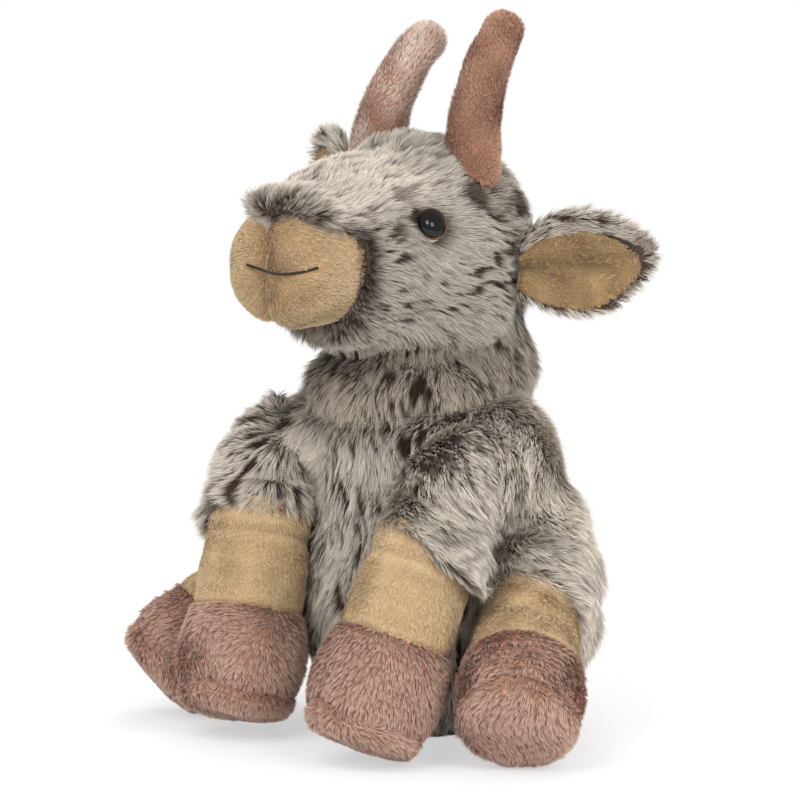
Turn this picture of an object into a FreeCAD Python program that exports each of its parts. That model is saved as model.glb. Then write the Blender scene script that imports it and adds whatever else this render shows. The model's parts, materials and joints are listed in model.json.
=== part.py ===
"""Seated plush goat: sewn fur and velboa skins over stuffing, with seams that turn and flap.

Millimetres. The goat faces -Y, its own left side is +X, and it sits on the plane Z = 0.
The upright axis of its neck is the line X = 0, Y = 0.
"""

import FreeCAD, Part
import os

import Sketcher
from FreeCAD import Vector

os.makedirs("parts", exist_ok=True)
doc = FreeCAD.newDocument("SeatedPlushGoat")

# ---------------------------------------------------------------- driving dimensions
DIMENSIONS = {
    # cloth
    "fur_wall": 1.6,              # fur fabric: backing and pressed pile
    "velboa_wall": 1.2,           # short pile fabric of muzzle, horns, cuffs and hooves
    "lining_gap": 0.2,            # between a skin and its stuffing
    "seam_gap": 0.3,              # between two pieces that turn against each other
    "thread_height": 0.5,         # how far a stitch stands proud
    "floor_gap": 0.5,             # below the lowest point of each hoof
    # body, a pear of round sections stacked from the seat to the neck
    "seat_radius": 28,
    "seat_centre": 15,
    "rump_low_radius": 37,
    "rump_low_height": 12,
    "rump_centre": 16,
    "rump_radius": 44,
    "rump_height": 38,
    "belly_radius": 40,
    "belly_centre": 13,
    "belly_height": 65,
    "chest_radius": 33.5,
    "chest_centre": 7,
    "chest_drop": 14,             # below the neck seam
    "neck_radius": 30,
    "neck_height": 100,
    # bead bag that weighs the seat down
    "bag_radius": 23,
    "bag_half_height": 9,
    "bag_wall": 0.8,
    # neck and head
    "neck_top_radius": 29,
    "neck_length": 50,            # from the neck seam to the middle of the skull
    "head_radius": 34,
    "head_length": 44,
    "head_taper_angle": 16,
    "head_pitch_angle": 4,
    "head_roll_angle": 5,
    "nod_down_angle": 10,
    # muzzle and mouth
    "muzzle_reach": 27,
    "muzzle_tuck": 4,
    "muzzle_corner": 13,
    "middle_seam": 0.2,
    "smile_radius": 26,
    "smile_width": 1.2,
    "smile_sweep_angle": 62,
    "smile_drop": 1,
    # eyes
    "eye_radius": 5,
    "eye_dome": 3.6,
    "iris_width": 1.1,
    "iris_thick": 0.5,
    "shank_radius": 1.5,
    "shank_length": 6,
    "washer_radius": 5,
    "washer_thick": 1,
    "eye_forward": 23,
    "eye_angle": 65,
    # horns
    "horn_radius": 8.8,
    "horn_tip_radius": 6.4,
    "left_horn_curve": 62,
    "left_horn_sweep_angle": 40,
    "right_horn_curve": 44,
    "right_horn_sweep_angle": 52,
    "horn_root": 9,
    "horn_spread": 19,
    "horn_back": 2,
    "horn_lean_angle": 4,
    # ears
    "ear_length": 41,
    "ear_root_half": 8,
    "ear_tip_rise": 11,
    "ear_upper_curve": 28,
    "ear_lower_curve": 26,
    "ear_back_thick": 2,
    "ear_lining_thick": 1.2,
    "ear_hem": 2.5,
    "ear_roll_radius": 2.2,
    "ear_back_angle": 32,
    "left_ear_rise_angle": 1,
    "right_ear_rise_angle": 14,
    "ear_root_angle": 12,
    # front legs
    "arm_ball": 16,
    "arm_top_radius": 12.5,
    "arm_length": 87,
    "sleeve_length": 24,
    "sleeve_hem_radius": 17,
    "arm_cuff_length": 29,
    "shoulder_spread": 37,
    "shoulder_forward": 25,
    "left_arm_swing_angle": 23,
    "left_arm_lean_angle": 7,
    "right_arm_swing_angle": 16,
    "right_arm_lean_angle": -4,
    "left_arm_rise": 0,           # of the hoof above where the others rest
    "right_arm_rise": 2,
    # hind legs
    "hip_ball": 18,
    "thigh_top_radius": 13,
    "thigh_hem_radius": 15,
    "leg_length": 68,
    "thigh_length": 20,
    "leg_cuff_length": 21,
    "hip_spread": 45.5,
    "hip_back": 3,
    "leg_pitch_angle": 41,
    "left_leg_splay_angle": 32,
    "right_leg_splay_angle": 37,
    # hooves, the same on all four legs
    "hoof_top_radius": 17.5,
    "hoof_bulge": 60,
    "sole_radius": 18.3,
    "sole_round": 8,
    # tail
    "tail_ball": 6.5,
    "tail_radius": 5,
    "tail_length": 16.6,
    "tail_height": 28,
    "tail_back": 61,
    "tail_pitch_angle": 40,
}

sheet = doc.addObject("Spreadsheet::Sheet", "Dims")
for row, (alias, size) in enumerate(DIMENSIONS.items(), start=1):
    sheet.set(f"A{row}", alias)
    sheet.set(f"B{row}", str(size))
    sheet.setAlias(f"B{row}", alias)
doc.recompute()


def size(expression):
    """The value of an expression now, to draw a sketch close to its constraints."""
    return float(sheet.evalExpression(expression))


def at(x="0", y="0", z="0", axis="1; 0; 0", angle="0"):
    """A placement expression: turn about an axis through the origin, then move."""
    return f"placement(vector({x}; {y}; {z}); rotation(vector({axis}); {angle}))"


def bind(thing, placement, **sizes):
    for name, expression in sizes.items():
        thing.setExpression(name, expression)
    thing.setExpression("Placement", placement)
    return thing


# ---------------------------------------------------------------- shape helpers
def plane_of(body, role):
    return [item for item in body.Origin.OriginFeatures if item.Role == role][0]


def draw_outline(body, name, outline):
    """A closed outline of (across, up, arc radius) on the XZ plane of a body.

    The arc radius belongs to the edge that leaves the corner: None is a straight edge,
    and the sign says to which side the edge bulges (+ is the right of its direction).
    """
    sketch = body.newObject("Sketcher::SketchObject", name)
    sketch.AttachmentSupport = [(plane_of(body, "XZ_Plane"), "")]
    sketch.MapMode = "FlatFace"
    corners = [Vector(size(across), size(up), 0) for across, up, _ in outline]
    starts = []
    for index, (_, _, arc) in enumerate(outline):
        first = corners[index]
        last = corners[(index + 1) % len(corners)]
        if arc is None:
            edge = sketch.addGeometry(Part.LineSegment(first, last))
            starts.append((edge, 1, 2))
            continue
        radius = size(arc)
        chord = last - first
        sagitta = abs(radius) - (radius ** 2 - (chord.Length / 2) ** 2) ** 0.5
        side = Vector(chord.y, -chord.x, 0).normalize() * (1 if radius > 0 else -1)
        edge = sketch.addGeometry(Part.Arc(first, (first + last) * 0.5 + side * sagitta, last))
        starts.append((edge, 1, 2) if radius > 0 else (edge, 2, 1))
    for index, (across, up, arc) in enumerate(outline):
        edge, start, end = starts[index]
        following, next_start, _ = starts[(index + 1) % len(starts)]
        sketch.addConstraint(Sketcher.Constraint("Coincident", edge, end, following, next_start))
        for kind, axis, expression in (("DistanceX", -2, across), ("DistanceY", -1, up)):
            if expression == "0":
                sketch.addConstraint(Sketcher.Constraint("PointOnObject", edge, start, axis))
                continue
            number = sketch.addConstraint(
                Sketcher.Constraint(kind, -1, 1, edge, start, size(expression)))
            sketch.setExpression(f"Constraints[{number}]", expression)
        if arc is not None:
            number = sketch.addConstraint(Sketcher.Constraint("Radius", edge, abs(size(arc))))
            sketch.setExpression(f"Constraints[{number}]", f"abs({arc})")
    return sketch


def turned(label, outline, placement):
    """An outline turned a full circle about the local Z axis."""
    body = doc.addObject("PartDesign::Body", label)
    sketch = draw_outline(body, label + "_profile", outline)
    turn = body.newObject("PartDesign::Revolution", label + "_turn")
    turn.Profile = sketch
    turn.ReferenceAxis = (sketch, ["V_Axis"])
    turn.Angle = 360
    body.Tip = turn
    return bind(body, placement)


def cut_sheet(label, outline, thickness, reverse, placement):
    """An outline padded to one side of the local XZ plane."""
    body = doc.addObject("PartDesign::Body", label)
    sketch = draw_outline(body, label + "_profile", outline)
    pad = body.newObject("PartDesign::Pad", label + "_pad")
    pad.Profile = sketch
    pad.Reversed = reverse
    pad.setExpression("Length", thickness)
    body.Tip = pad
    return bind(body, placement)


def sphere(name, radius, placement):
    return bind(doc.addObject("Part::Sphere", name), placement, Radius=radius)


def cylinder(name, radius, height, placement):
    thing = doc.addObject("Part::Cylinder", name)
    return bind(thing, placement, Radius=radius, Height=height)


def cone(name, low_radius, high_radius, height, placement):
    thing = doc.addObject("Part::Cone", name)
    return bind(thing, placement, Radius1=low_radius, Radius2=high_radius, Height=height)


def box(name, length, width, height, placement):
    thing = doc.addObject("Part::Box", name)
    return bind(thing, placement, Length=length, Width=width, Height=height)


def loft(name, sections):
    """A smooth solid through circles given as (radius, placement)."""
    circles = []
    for number, (radius, placement) in enumerate(sections, start=1):
        circle = doc.addObject("Part::Circle", f"{name}_ring_{number}")
        circles.append(bind(circle, placement, Radius=radius))
    solid = doc.addObject("Part::Loft", name)
    solid.Sections = circles
    solid.Solid = True
    return solid


def joined(name, shapes):
    fuse = doc.addObject("Part::MultiFuse", name)
    fuse.Shapes = shapes
    return fuse


def less(name, base, tools):
    """The base with each tool cut out of it in turn."""
    for number, tool in enumerate(tools, start=1):
        cut = doc.addObject("Part::Cut", f"{name}_cut_{number}")
        cut.Base = base
        cut.Tool = tool
        base = cut
    return base


def shared(name, first, second):
    common = doc.addObject("Part::Common", name)
    common.Base = first
    common.Tool = second
    return common


pieces = []


def piece(label, thing):
    """Give a finished sub-part its own label and put it on the list to write."""
    thing.Label = label
    pieces.append(thing)
    return thing


# ---------------------------------------------------------------- places
SIDES = {"left": "1", "right": "-1"}
HEAD_HEIGHT = "(Dims.neck_height + Dims.neck_length)"

# local Z out of the face, local Y to the crown
head_place = (at(z=HEAD_HEIGHT, angle="90 + Dims.head_pitch_angle")
              + " * " + at(axis="0; 0; 1", angle="-Dims.head_roll_angle"))
# level with the neck, but tipped to one side with the head
crown_place = at(z=HEAD_HEIGHT, axis="0; 1; 0", angle="Dims.head_roll_angle")


def arm_place(side):
    """Shoulder pivot, local Z along the arm; the height sets the hoof on the floor."""
    down = f"(cos(Dims.{side}_arm_swing_angle) * cos(Dims.{side}_arm_lean_angle))"
    height = (f"Dims.floor_gap + Dims.{side}_arm_rise + Dims.sole_round"
              f" + (Dims.arm_length - Dims.sole_round) * {down}"
              f" + (Dims.sole_radius - Dims.sole_round) * sqrt(1 - {down}^2)")
    move = at(f"{SIDES[side]} * Dims.shoulder_spread", "-Dims.shoulder_forward", height,
              "0; 1; 0", f"Dims.{side}_arm_lean_angle")
    return move + " * " + at(angle=f"180 - Dims.{side}_arm_swing_angle")


def leg_place(side):
    """Hip pivot, local Z along the leg; the height sets the hoof on the floor."""
    down = "sin(Dims.leg_pitch_angle)"
    height = (f"Dims.floor_gap + Dims.sole_round + (Dims.leg_length - Dims.sole_round) * {down}"
              " + (Dims.sole_radius - Dims.sole_round) * cos(Dims.leg_pitch_angle)")
    move = at(f"{SIDES[side]} * Dims.hip_spread", "Dims.hip_back", height,
              "0; 0; 1", f"{SIDES[side]} * Dims.{side}_leg_splay_angle")
    return move + " * " + at(angle="90 + Dims.leg_pitch_angle")


def ear_place(side):
    """Root seam of an ear, local Z along the seam and local X out along the ear."""
    outward = "Dims.ear_root_angle" if side == "left" else "180 - Dims.ear_root_angle"
    round_head = at(axis="0; 0; 1", angle=outward)
    up_head = at(axis="0; 1; 0", angle=f"-Dims.{side}_ear_rise_angle")
    reach = "Dims.head_radius + Dims.seam_gap + Dims.ear_roll_radius"
    bend = f"{SIDES[side]} * (Dims.ear_back_angle - Dims.ear_root_angle)"
    return " * ".join((crown_place, round_head, up_head, at(x=reach, axis="0; 0; 1", angle=bend)))


tail_place = at(y="Dims.tail_back", z="Dims.tail_height", angle="Dims.tail_pitch_angle - 90")


# ---------------------------------------------------------------- body
def pear(name, shrink):
    """The round sections of the body, every radius smaller by the same amount."""
    stack = (("seat_radius", "seat_centre", "0"),
             ("rump_low_radius", "rump_centre", "Dims.rump_low_height"),
             ("rump_radius", "rump_centre", "Dims.rump_height"),
             ("belly_radius", "belly_centre", "Dims.belly_height"),
             ("chest_radius", "chest_centre", "Dims.neck_height - Dims.chest_drop"))
    rings = [(f"Dims.{radius} - {shrink}", at(y=f"Dims.{centre}", z=height))
             for radius, centre, height in stack]
    rings.append((f"Dims.neck_radius - {shrink}", at(z="Dims.neck_height")))
    return loft(name, rings)


def limb_sockets(name):
    """Hollows in the body that the four limbs and the tail turn in."""
    balls = []
    for side in SIDES:
        balls.append(sphere(f"{name}_{side}_shoulder", "Dims.arm_ball + Dims.seam_gap",
                            arm_place(side)))
        balls.append(sphere(f"{name}_{side}_hip", "Dims.hip_ball + Dims.seam_gap",
                            leg_place(side)))
    balls.append(sphere(f"{name}_tail", "Dims.tail_ball + Dims.seam_gap", tail_place))
    return balls


def bead_egg(name, shrink):
    egg = doc.addObject("Part::Ellipsoid", name)
    middle = "Dims.velboa_wall + Dims.lining_gap * 2 + Dims.bag_half_height"
    return bind(egg, at(y="Dims.seat_centre", z=middle),
                Radius1=f"Dims.bag_half_height - {shrink}",
                Radius2=f"Dims.bag_radius - {shrink}",
                Radius3=f"Dims.bag_radius - {shrink}")


piece("body_skin", less("BodySkin", pear("BodyOuter", "0"),
                        [pear("BodyInner", "Dims.fur_wall")] + limb_sockets("BodySocket")))
seat_void = cylinder("SeatVoid", "Dims.rump_radius", "Dims.velboa_wall + Dims.lining_gap",
                     at(y="Dims.seat_centre"))
piece("body_stuffing",
      less("BodyStuffing", pear("BodyFill", "(Dims.fur_wall + Dims.lining_gap)"),
           [seat_void, bead_egg("BagVoid", "(-Dims.lining_gap)")] + limb_sockets("FillSocket")))
piece("base_panel", cylinder("BasePanel", "Dims.seat_radius - Dims.fur_wall",
                             "Dims.velboa_wall", at(y="Dims.seat_centre")))
piece("bead_bag", less("BeadBag", bead_egg("BagOuter", "0"), [bead_egg("BagInner", "Dims.bag_wall")]))
piece("seat_beads", bead_egg("SeatBeads", "(Dims.bag_wall + Dims.lining_gap)"))


# ---------------------------------------------------------------- neck
def head_clearance(name):
    """The room the head sweeps in the neck when it nods down to its limit."""
    grown = "(Dims.head_radius + Dims.seam_gap)"
    skull = sphere(name + "_skull", grown, at(z=HEAD_HEIGHT))
    down = at(z=HEAD_HEIGHT, angle="90 + Dims.head_pitch_angle + Dims.nod_down_angle")
    tangent = f"{grown} * sin(Dims.head_taper_angle)"
    far = f"({grown} - Dims.head_length * sin(Dims.head_taper_angle)) / cos(Dims.head_taper_angle)"
    jaw = cone(name + "_jaw", f"{grown} * cos(Dims.head_taper_angle)", far,
               f"Dims.head_length - {tangent}", down + " * " + at(z=tangent))
    return [skull, jaw]


def neck_cone(name, shrink):
    foot = "Dims.neck_height + Dims.seam_gap"
    return cone(name, f"Dims.neck_radius - {shrink}", f"Dims.neck_top_radius - {shrink}",
                "Dims.neck_length - Dims.neck_top_radius / 2", at(z=foot))


piece("neck_skin", less("NeckSkin", neck_cone("NeckOuter", "0"),
                        [neck_cone("NeckInner", "Dims.fur_wall")] + head_clearance("NeckRoom")))
piece("neck_stuffing",
      less("NeckStuffing", neck_cone("NeckFill", "(Dims.fur_wall + Dims.lining_gap)"),
           head_clearance("NeckFillRoom")))


# ---------------------------------------------------------------- head and muzzle
def head_radius_at(forward, shrink="0"):
    return (f"((Dims.head_radius - {shrink} - ({forward}) * sin(Dims.head_taper_angle))"
            " / cos(Dims.head_taper_angle))")


def head_outline(shrink, front):
    """Skull ball that runs into the tapering face, ended by a flat front."""
    ball = f"(Dims.head_radius - {shrink})"
    return [("0", f"-{ball}", ball),
            (f"{ball} * cos(Dims.head_taper_angle)", f"{ball} * sin(Dims.head_taper_angle)", None),
            (head_radius_at(front, shrink), front, None),
            ("0", front, None)]


muzzle_radius = f"({head_radius_at('Dims.head_length')} - Dims.fur_wall - Dims.seam_gap)"
muzzle_start = "(Dims.head_length - Dims.muzzle_tuck)"
muzzle_end = "(Dims.head_length + Dims.muzzle_reach)"


def muzzle_outline(shrink):
    """A drum with one well rounded end."""
    side = f"({muzzle_radius} - {shrink})"
    corner = f"(Dims.muzzle_corner - {shrink})"
    return [("0", muzzle_start, None),
            (side, muzzle_start, None),
            (side, f"{muzzle_end} - Dims.muzzle_corner", corner),
            (f"{side} - {corner}", f"{muzzle_end} - {shrink}", None),
            ("0", f"{muzzle_end} - {shrink}", None)]


def eye_place(side):
    """On the cheek, local Z straight out of the fur."""
    around = at(axis="0; 0; 1", angle=f"-{SIDES[side]} * Dims.eye_angle")
    out = at(y=head_radius_at("Dims.eye_forward"), z="Dims.eye_forward",
             angle="Dims.head_taper_angle - 90")
    return " * ".join((head_place, around, out))


def washer_place(side, lift):
    """Behind the curved fur, deep enough for the rim of the flat washer to clear it."""
    cheek = head_radius_at("Dims.eye_forward", "Dims.fur_wall")
    sag = f"{cheek} - sqrt({cheek}^2 - Dims.washer_radius^2)"
    return eye_place(side) + " * " + at(z=f"-(Dims.fur_wall + Dims.washer_thick + {sag} + {lift})")


head_shell = less("HeadShell", turned("HeadOuter", head_outline("0", "Dims.head_length"), head_place),
                  [turned("HeadInner", head_outline("Dims.fur_wall", "Dims.head_length"), head_place)])
shank_holes = [cylinder(f"ShankHole_{side}", "Dims.shank_radius", "2 * Dims.shank_length",
                        eye_place(side) + " * " + at(z="-Dims.shank_length")) for side in SIDES]
piece("head_skin", less("HeadSkin", head_shell, shank_holes))

head_fill = turned("HeadFill", head_outline("(Dims.fur_wall + Dims.lining_gap)",
                                            f"{muzzle_start} - Dims.lining_gap"), head_place)
eye_room = [cylinder(f"EyeRoom_{side}", "Dims.washer_radius + Dims.lining_gap",
                     "Dims.shank_length + Dims.fur_wall",
                     eye_place(side) + " * " + at(z="-Dims.shank_length - Dims.lining_gap"))
            for side in SIDES]
piece("head_stuffing", less("HeadStuffing", head_fill, eye_room))

muzzle_shell = less("MuzzleShell", turned("MuzzleOuter", muzzle_outline("0"), head_place),
                    [turned("MuzzleInner", muzzle_outline("Dims.velboa_wall"), head_place)])
for side, sign in SIDES.items():
    start = "Dims.middle_seam / 2" if side == "left" else "-Dims.head_radius"
    half = box(f"MuzzleHalf_{side}", "Dims.head_radius - Dims.middle_seam / 2",
               "2 * Dims.head_radius", "2 * Dims.head_length",
               head_place + " * " + at(x=start, y="-Dims.head_radius"))
    piece(f"{side}_muzzle", shared(f"Muzzle_{side}", muzzle_shell, half))
piece("muzzle_stuffing",
      turned("MuzzleStuffing", muzzle_outline("(Dims.velboa_wall + Dims.lining_gap)"), head_place))

smile_height = "(Dims.smile_radius - Dims.smile_drop)"
smile_turn = (head_place + " * " + at(y=smile_height, axis="0; 0; 1",
                                      angle="-90 - Dims.smile_sweep_angle / 2"))
smile_outer = cylinder("SmileOuter", "Dims.smile_radius + Dims.smile_width / 2",
                       f"2 * {muzzle_end}", smile_turn)
smile_outer.setExpression("Angle", "Dims.smile_sweep_angle")
smile_band = less("SmileBand", smile_outer,
                  [cylinder("SmileInner", "Dims.smile_radius - Dims.smile_width / 2",
                            f"2 * {muzzle_end}", smile_turn)])
thread_shell = less("ThreadShell", turned("ThreadOuter", muzzle_outline("(-Dims.thread_height)"),
                                          head_place),
                    [turned("ThreadInner", muzzle_outline("0"), head_place)])
piece("mouth_thread", shared("MouthThread", thread_shell, smile_band))

# ---------------------------------------------------------------- eyes
for side in SIDES:
    dome_ball = "((Dims.eye_radius^2 + Dims.eye_dome^2) / (2 * Dims.eye_dome))"
    dome = turned(f"EyeDome_{side}",
                  [("0", "-Dims.shank_length", None),
                   ("Dims.shank_radius", "-Dims.shank_length", None),
                   ("Dims.shank_radius", "Dims.iris_thick", None),
                   ("Dims.eye_radius - Dims.iris_width", "Dims.iris_thick", None),
                   ("Dims.eye_radius - Dims.iris_width",
                    f"sqrt({dome_ball}^2 - (Dims.eye_radius - Dims.iris_width)^2)"
                    f" - {dome_ball} + Dims.eye_dome", dome_ball),
                   ("0", "Dims.eye_dome", None)], eye_place(side))
    piece(f"{side}_eye_pupil", dome)
    ring = turned(f"EyeRing_{side}",
                  [("Dims.shank_radius", "0", None),
                   ("Dims.eye_radius", "0", dome_ball),
                   ("Dims.eye_radius - Dims.iris_width",
                    f"sqrt({dome_ball}^2 - (Dims.eye_radius - Dims.iris_width)^2)"
                    f" - {dome_ball} + Dims.eye_dome", None),
                   ("Dims.eye_radius - Dims.iris_width", "Dims.iris_thick", None),
                   ("Dims.shank_radius", "Dims.iris_thick", None)], eye_place(side))
    piece(f"{side}_eye_iris", ring)
    washer = less(f"EyeWasher_{side}",
                  cylinder(f"WasherDisc_{side}", "Dims.washer_radius", "Dims.washer_thick",
                           washer_place(side, "Dims.lining_gap")),
                  [cylinder(f"WasherBore_{side}", "Dims.shank_radius", "Dims.washer_thick * 3",
                            washer_place(side, "2 * Dims.washer_thick"))])
    piece(f"{side}_eye_washer", washer)


# ---------------------------------------------------------------- horns
HORN_RINGS = 5


def horn_solid(name, side, shrink):
    """Tapered horn that bends backwards, with a ball for its blunt tip."""
    base = crown_place + " * " + at(f"{SIDES[side]} * Dims.horn_spread", "Dims.horn_back",
                                    "sqrt(Dims.head_radius^2 - Dims.horn_spread^2)",
                                    "0; 1; 0", f"-{SIDES[side]} * Dims.horn_lean_angle")
    rings = [(f"Dims.horn_radius - {shrink}", base + " * " + at(z="-Dims.horn_root"))]
    for ring_number in range(HORN_RINGS):
        share = ring_number / (HORN_RINGS - 1)
        turn = f"(Dims.{side}_horn_sweep_angle * {share})"
        ring = f"Dims.horn_radius + (Dims.horn_tip_radius - Dims.horn_radius) * {share} - {shrink}"
        back = f"Dims.{side}_horn_curve * (1 - cos{turn})"
        rise = f"Dims.{side}_horn_curve * sin{turn}"
        rings.append((ring, base + " * " + at(y=back, z=rise, angle=f"-{turn}")))
    tip = sphere(name + "_tip", rings[-1][0], rings[-1][1])
    return joined(name, [loft(name + "_stem", rings), tip])


for side in SIDES:
    seat = sphere(f"HornSeat_{side}", "Dims.head_radius", at(z=HEAD_HEIGHT))
    fill_seat = sphere(f"HornFillSeat_{side}", "Dims.head_radius + Dims.lining_gap",
                       at(z=HEAD_HEIGHT))
    skin = less(f"HornSkin_{side}", horn_solid(f"HornOuter_{side}", side, "0"),
                [horn_solid(f"HornInner_{side}", side, "Dims.velboa_wall"), seat])
    piece(f"{side}_horn", skin)
    fill = horn_solid(f"HornFill_{side}", side, "(Dims.velboa_wall + Dims.lining_gap)")
    piece(f"{side}_horn_stuffing", less(f"HornStuffing_{side}", fill, [fill_seat]))


# ---------------------------------------------------------------- ears
def leaf(inset, root):
    """Ear outline: straight root seam, then two arcs that meet at the tip."""
    return [(root, f"-(Dims.ear_root_half - {inset})", f"Dims.ear_lower_curve - {inset}"),
            (f"Dims.ear_length - 2 * {inset}", "Dims.ear_tip_rise",
             f"Dims.ear_upper_curve - {inset}"),
            (root, f"Dims.ear_root_half - {inset}", None)]


for side in SIDES:
    forward = "-Dims.lining_gap" if side == "left" else "Dims.lining_gap"
    back = cut_sheet(f"EarBack_{side}", leaf("0", "0"), "Dims.ear_back_thick",
                     side == "left", ear_place(side))
    roll = cylinder(f"EarRoll_{side}", "Dims.ear_roll_radius", "2 * Dims.ear_root_half",
                    ear_place(side) + " * " + at(z="-Dims.ear_root_half"))
    piece(f"{side}_ear", joined(f"Ear_{side}", [back, roll]))
    lining = cut_sheet(f"EarLining_{side}", leaf("Dims.ear_hem", "Dims.ear_roll_radius"),
                       "Dims.ear_lining_thick", side == "right",
                       ear_place(side) + " * " + at(y=forward))
    piece(f"{side}_ear_lining", lining)


# ---------------------------------------------------------------- limbs
def limb(side, name, place, ball, top_radius, hem_radius, sleeve_length, cuff_length, length):
    """One stuffed limb: fur top with a ball root, velboa cuff, hoof and sole, and its filling."""
    fur = "Dims.fur_wall"
    cloth = "Dims.velboa_wall"
    cuff_end = f"({sleeve_length} + {cuff_length})"
    sole_start = f"({length} - Dims.sole_round)"
    cuff_radius = f"({hem_radius} - Dims.fur_wall / 2)"

    def root(shrink):
        return f"sqrt(({ball} - {shrink})^2 - ({top_radius} - {shrink})^2)"

    piece(f"{side}_{name}_sleeve", turned(
        f"Sleeve_{side}_{name}",
        [("0", f"-{ball}", ball),
         (top_radius, root("0"), None),
         (hem_radius, sleeve_length, None),
         (f"{hem_radius} - {fur}", sleeve_length, None),
         (f"{top_radius} - {fur}", root(fur), f"-({ball} - {fur})"),
         ("0", f"-({ball} - {fur})", None)], place))
    piece(f"{side}_{name}_cuff", turned(
        f"Cuff_{side}_{name}",
        [(cuff_radius, sleeve_length, None),
         ("Dims.hoof_top_radius", cuff_end, None),
         (f"Dims.hoof_top_radius - {cloth}", cuff_end, None),
         (f"{cuff_radius} - {cloth}", sleeve_length, None)], place))
    piece(f"{side}_{name}_hoof", turned(
        f"Hoof_{side}_{name}",
        [("Dims.hoof_top_radius", cuff_end, "Dims.hoof_bulge"),
         ("Dims.sole_radius", sole_start, None),
         (f"Dims.sole_radius - {cloth}", sole_start, f"-(Dims.hoof_bulge - {cloth})"),
         (f"Dims.hoof_top_radius - {cloth}", cuff_end, None)], place))
    piece(f"{side}_{name}_sole", turned(
        f"Sole_{side}_{name}",
        [("Dims.sole_radius", sole_start, "Dims.sole_round"),
         ("Dims.sole_radius - Dims.sole_round", length, None),
         ("0", length, None),
         ("0", f"{length} - {cloth}", None),
         ("Dims.sole_radius - Dims.sole_round", f"{length} - {cloth}",
          f"-(Dims.sole_round - {cloth})"),
         (f"Dims.sole_radius - {cloth}", sole_start, None)], place))
    thick = "(Dims.fur_wall + Dims.lining_gap)"
    thin = "(Dims.velboa_wall + Dims.lining_gap)"
    piece(f"{side}_{name}_stuffing", turned(
        f"Stuffing_{side}_{name}",
        [("0", f"-({ball} - {thick})", f"({ball} - {thick})"),
         (f"{top_radius} - {thick}", root(thick), None),
         (f"{cuff_radius} - {thin}", sleeve_length, None),
         (f"Dims.hoof_top_radius - {thin}", cuff_end, f"Dims.hoof_bulge - {thin}"),
         (f"Dims.sole_radius - {thin}", sole_start, f"Dims.sole_round - {thin}"),
         ("Dims.sole_radius - Dims.sole_round", f"{length} - {thin}", None),
         ("0", f"{length} - {thin}", None)], place))


for side in SIDES:
    limb(side, "front", arm_place(side), "Dims.arm_ball", "Dims.arm_top_radius",
         "Dims.sleeve_hem_radius", "Dims.sleeve_length", "Dims.arm_cuff_length", "Dims.arm_length")
    limb(side, "hind", leg_place(side), "Dims.hip_ball", "Dims.thigh_top_radius",
         "Dims.thigh_hem_radius", "Dims.thigh_length", "Dims.leg_cuff_length", "Dims.leg_length")


# ---------------------------------------------------------------- tail
def tail_outline(shrink):
    ball = f"(Dims.tail_ball - {shrink})"
    tube = f"(Dims.tail_radius - {shrink})"
    return [("0", f"-{ball}", ball),
            (tube, f"sqrt({ball}^2 - {tube}^2)", None),
            (tube, "Dims.tail_length - Dims.tail_radius", tube),
            ("0", f"Dims.tail_length - {shrink}", None)]


piece("tail_skin", less("TailSkin", turned("TailOuter", tail_outline("0"), tail_place),
                        [turned("TailInner", tail_outline("Dims.fur_wall"), tail_place)]))
piece("tail_stuffing",
      turned("TailStuffing", tail_outline("(Dims.fur_wall + Dims.lining_gap)"), tail_place))

# ---------------------------------------------------------------- check and write
doc.recompute()
for thing in doc.Objects:
    bad = [state for state in thing.State if state in ("Invalid", "Error")]
    if bad:
        raise SystemExit(f"{thing.Label} is {bad}")
for thing in pieces:
    if thing.Shape.isNull() or not thing.Shape.isValid() or thing.Shape.Volume <= 0:
        raise SystemExit(f"{thing.Label} has no sound solid")
    thing.Shape.exportStep(os.path.join("parts", thing.Label + ".step"))
print(f"wrote {len(pieces)} parts")
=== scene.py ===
# %% [markdown]
# # A seated plush goat
# The toy is sewn from three cloths over soft filling: a long frosted faux fur for the trunk, neck, head,
# sleeves and ears, a short tan velboa for the muzzle, ear linings and cuffs, and a slightly longer brown
# velboa for the horns and hooves. The CAD model gives every size and place. This script adds what CAD
# leaves out: the soft outlines of stuffed cloth, its seams, and above all the pile, because pile is what
# the eye reads first on such a toy.

# %% Load the frame
import json
import math

import bpy
import numpy as np
from mathutils import Matrix, Vector
from mathutils.bvhtree import BVHTree
from mathutils.kdtree import KDTree


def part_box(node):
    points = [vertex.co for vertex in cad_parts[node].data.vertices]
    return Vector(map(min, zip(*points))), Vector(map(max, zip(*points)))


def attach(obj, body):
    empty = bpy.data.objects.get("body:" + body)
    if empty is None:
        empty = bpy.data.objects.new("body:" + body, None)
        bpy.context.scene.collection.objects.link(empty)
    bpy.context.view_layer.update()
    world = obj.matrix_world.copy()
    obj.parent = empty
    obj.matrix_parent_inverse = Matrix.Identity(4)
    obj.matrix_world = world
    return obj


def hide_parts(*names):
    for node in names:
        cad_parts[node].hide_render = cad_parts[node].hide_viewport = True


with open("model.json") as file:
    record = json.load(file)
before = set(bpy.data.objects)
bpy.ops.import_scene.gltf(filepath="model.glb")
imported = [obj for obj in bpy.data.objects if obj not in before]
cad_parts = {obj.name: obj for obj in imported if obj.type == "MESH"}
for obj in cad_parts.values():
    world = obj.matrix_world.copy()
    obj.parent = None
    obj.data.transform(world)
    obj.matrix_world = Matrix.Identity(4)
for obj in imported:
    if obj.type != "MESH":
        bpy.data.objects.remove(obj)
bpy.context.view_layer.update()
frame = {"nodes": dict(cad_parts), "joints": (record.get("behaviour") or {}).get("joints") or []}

MM = 0.001
bpy.ops.object.select_all(action="DESELECT")

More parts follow.
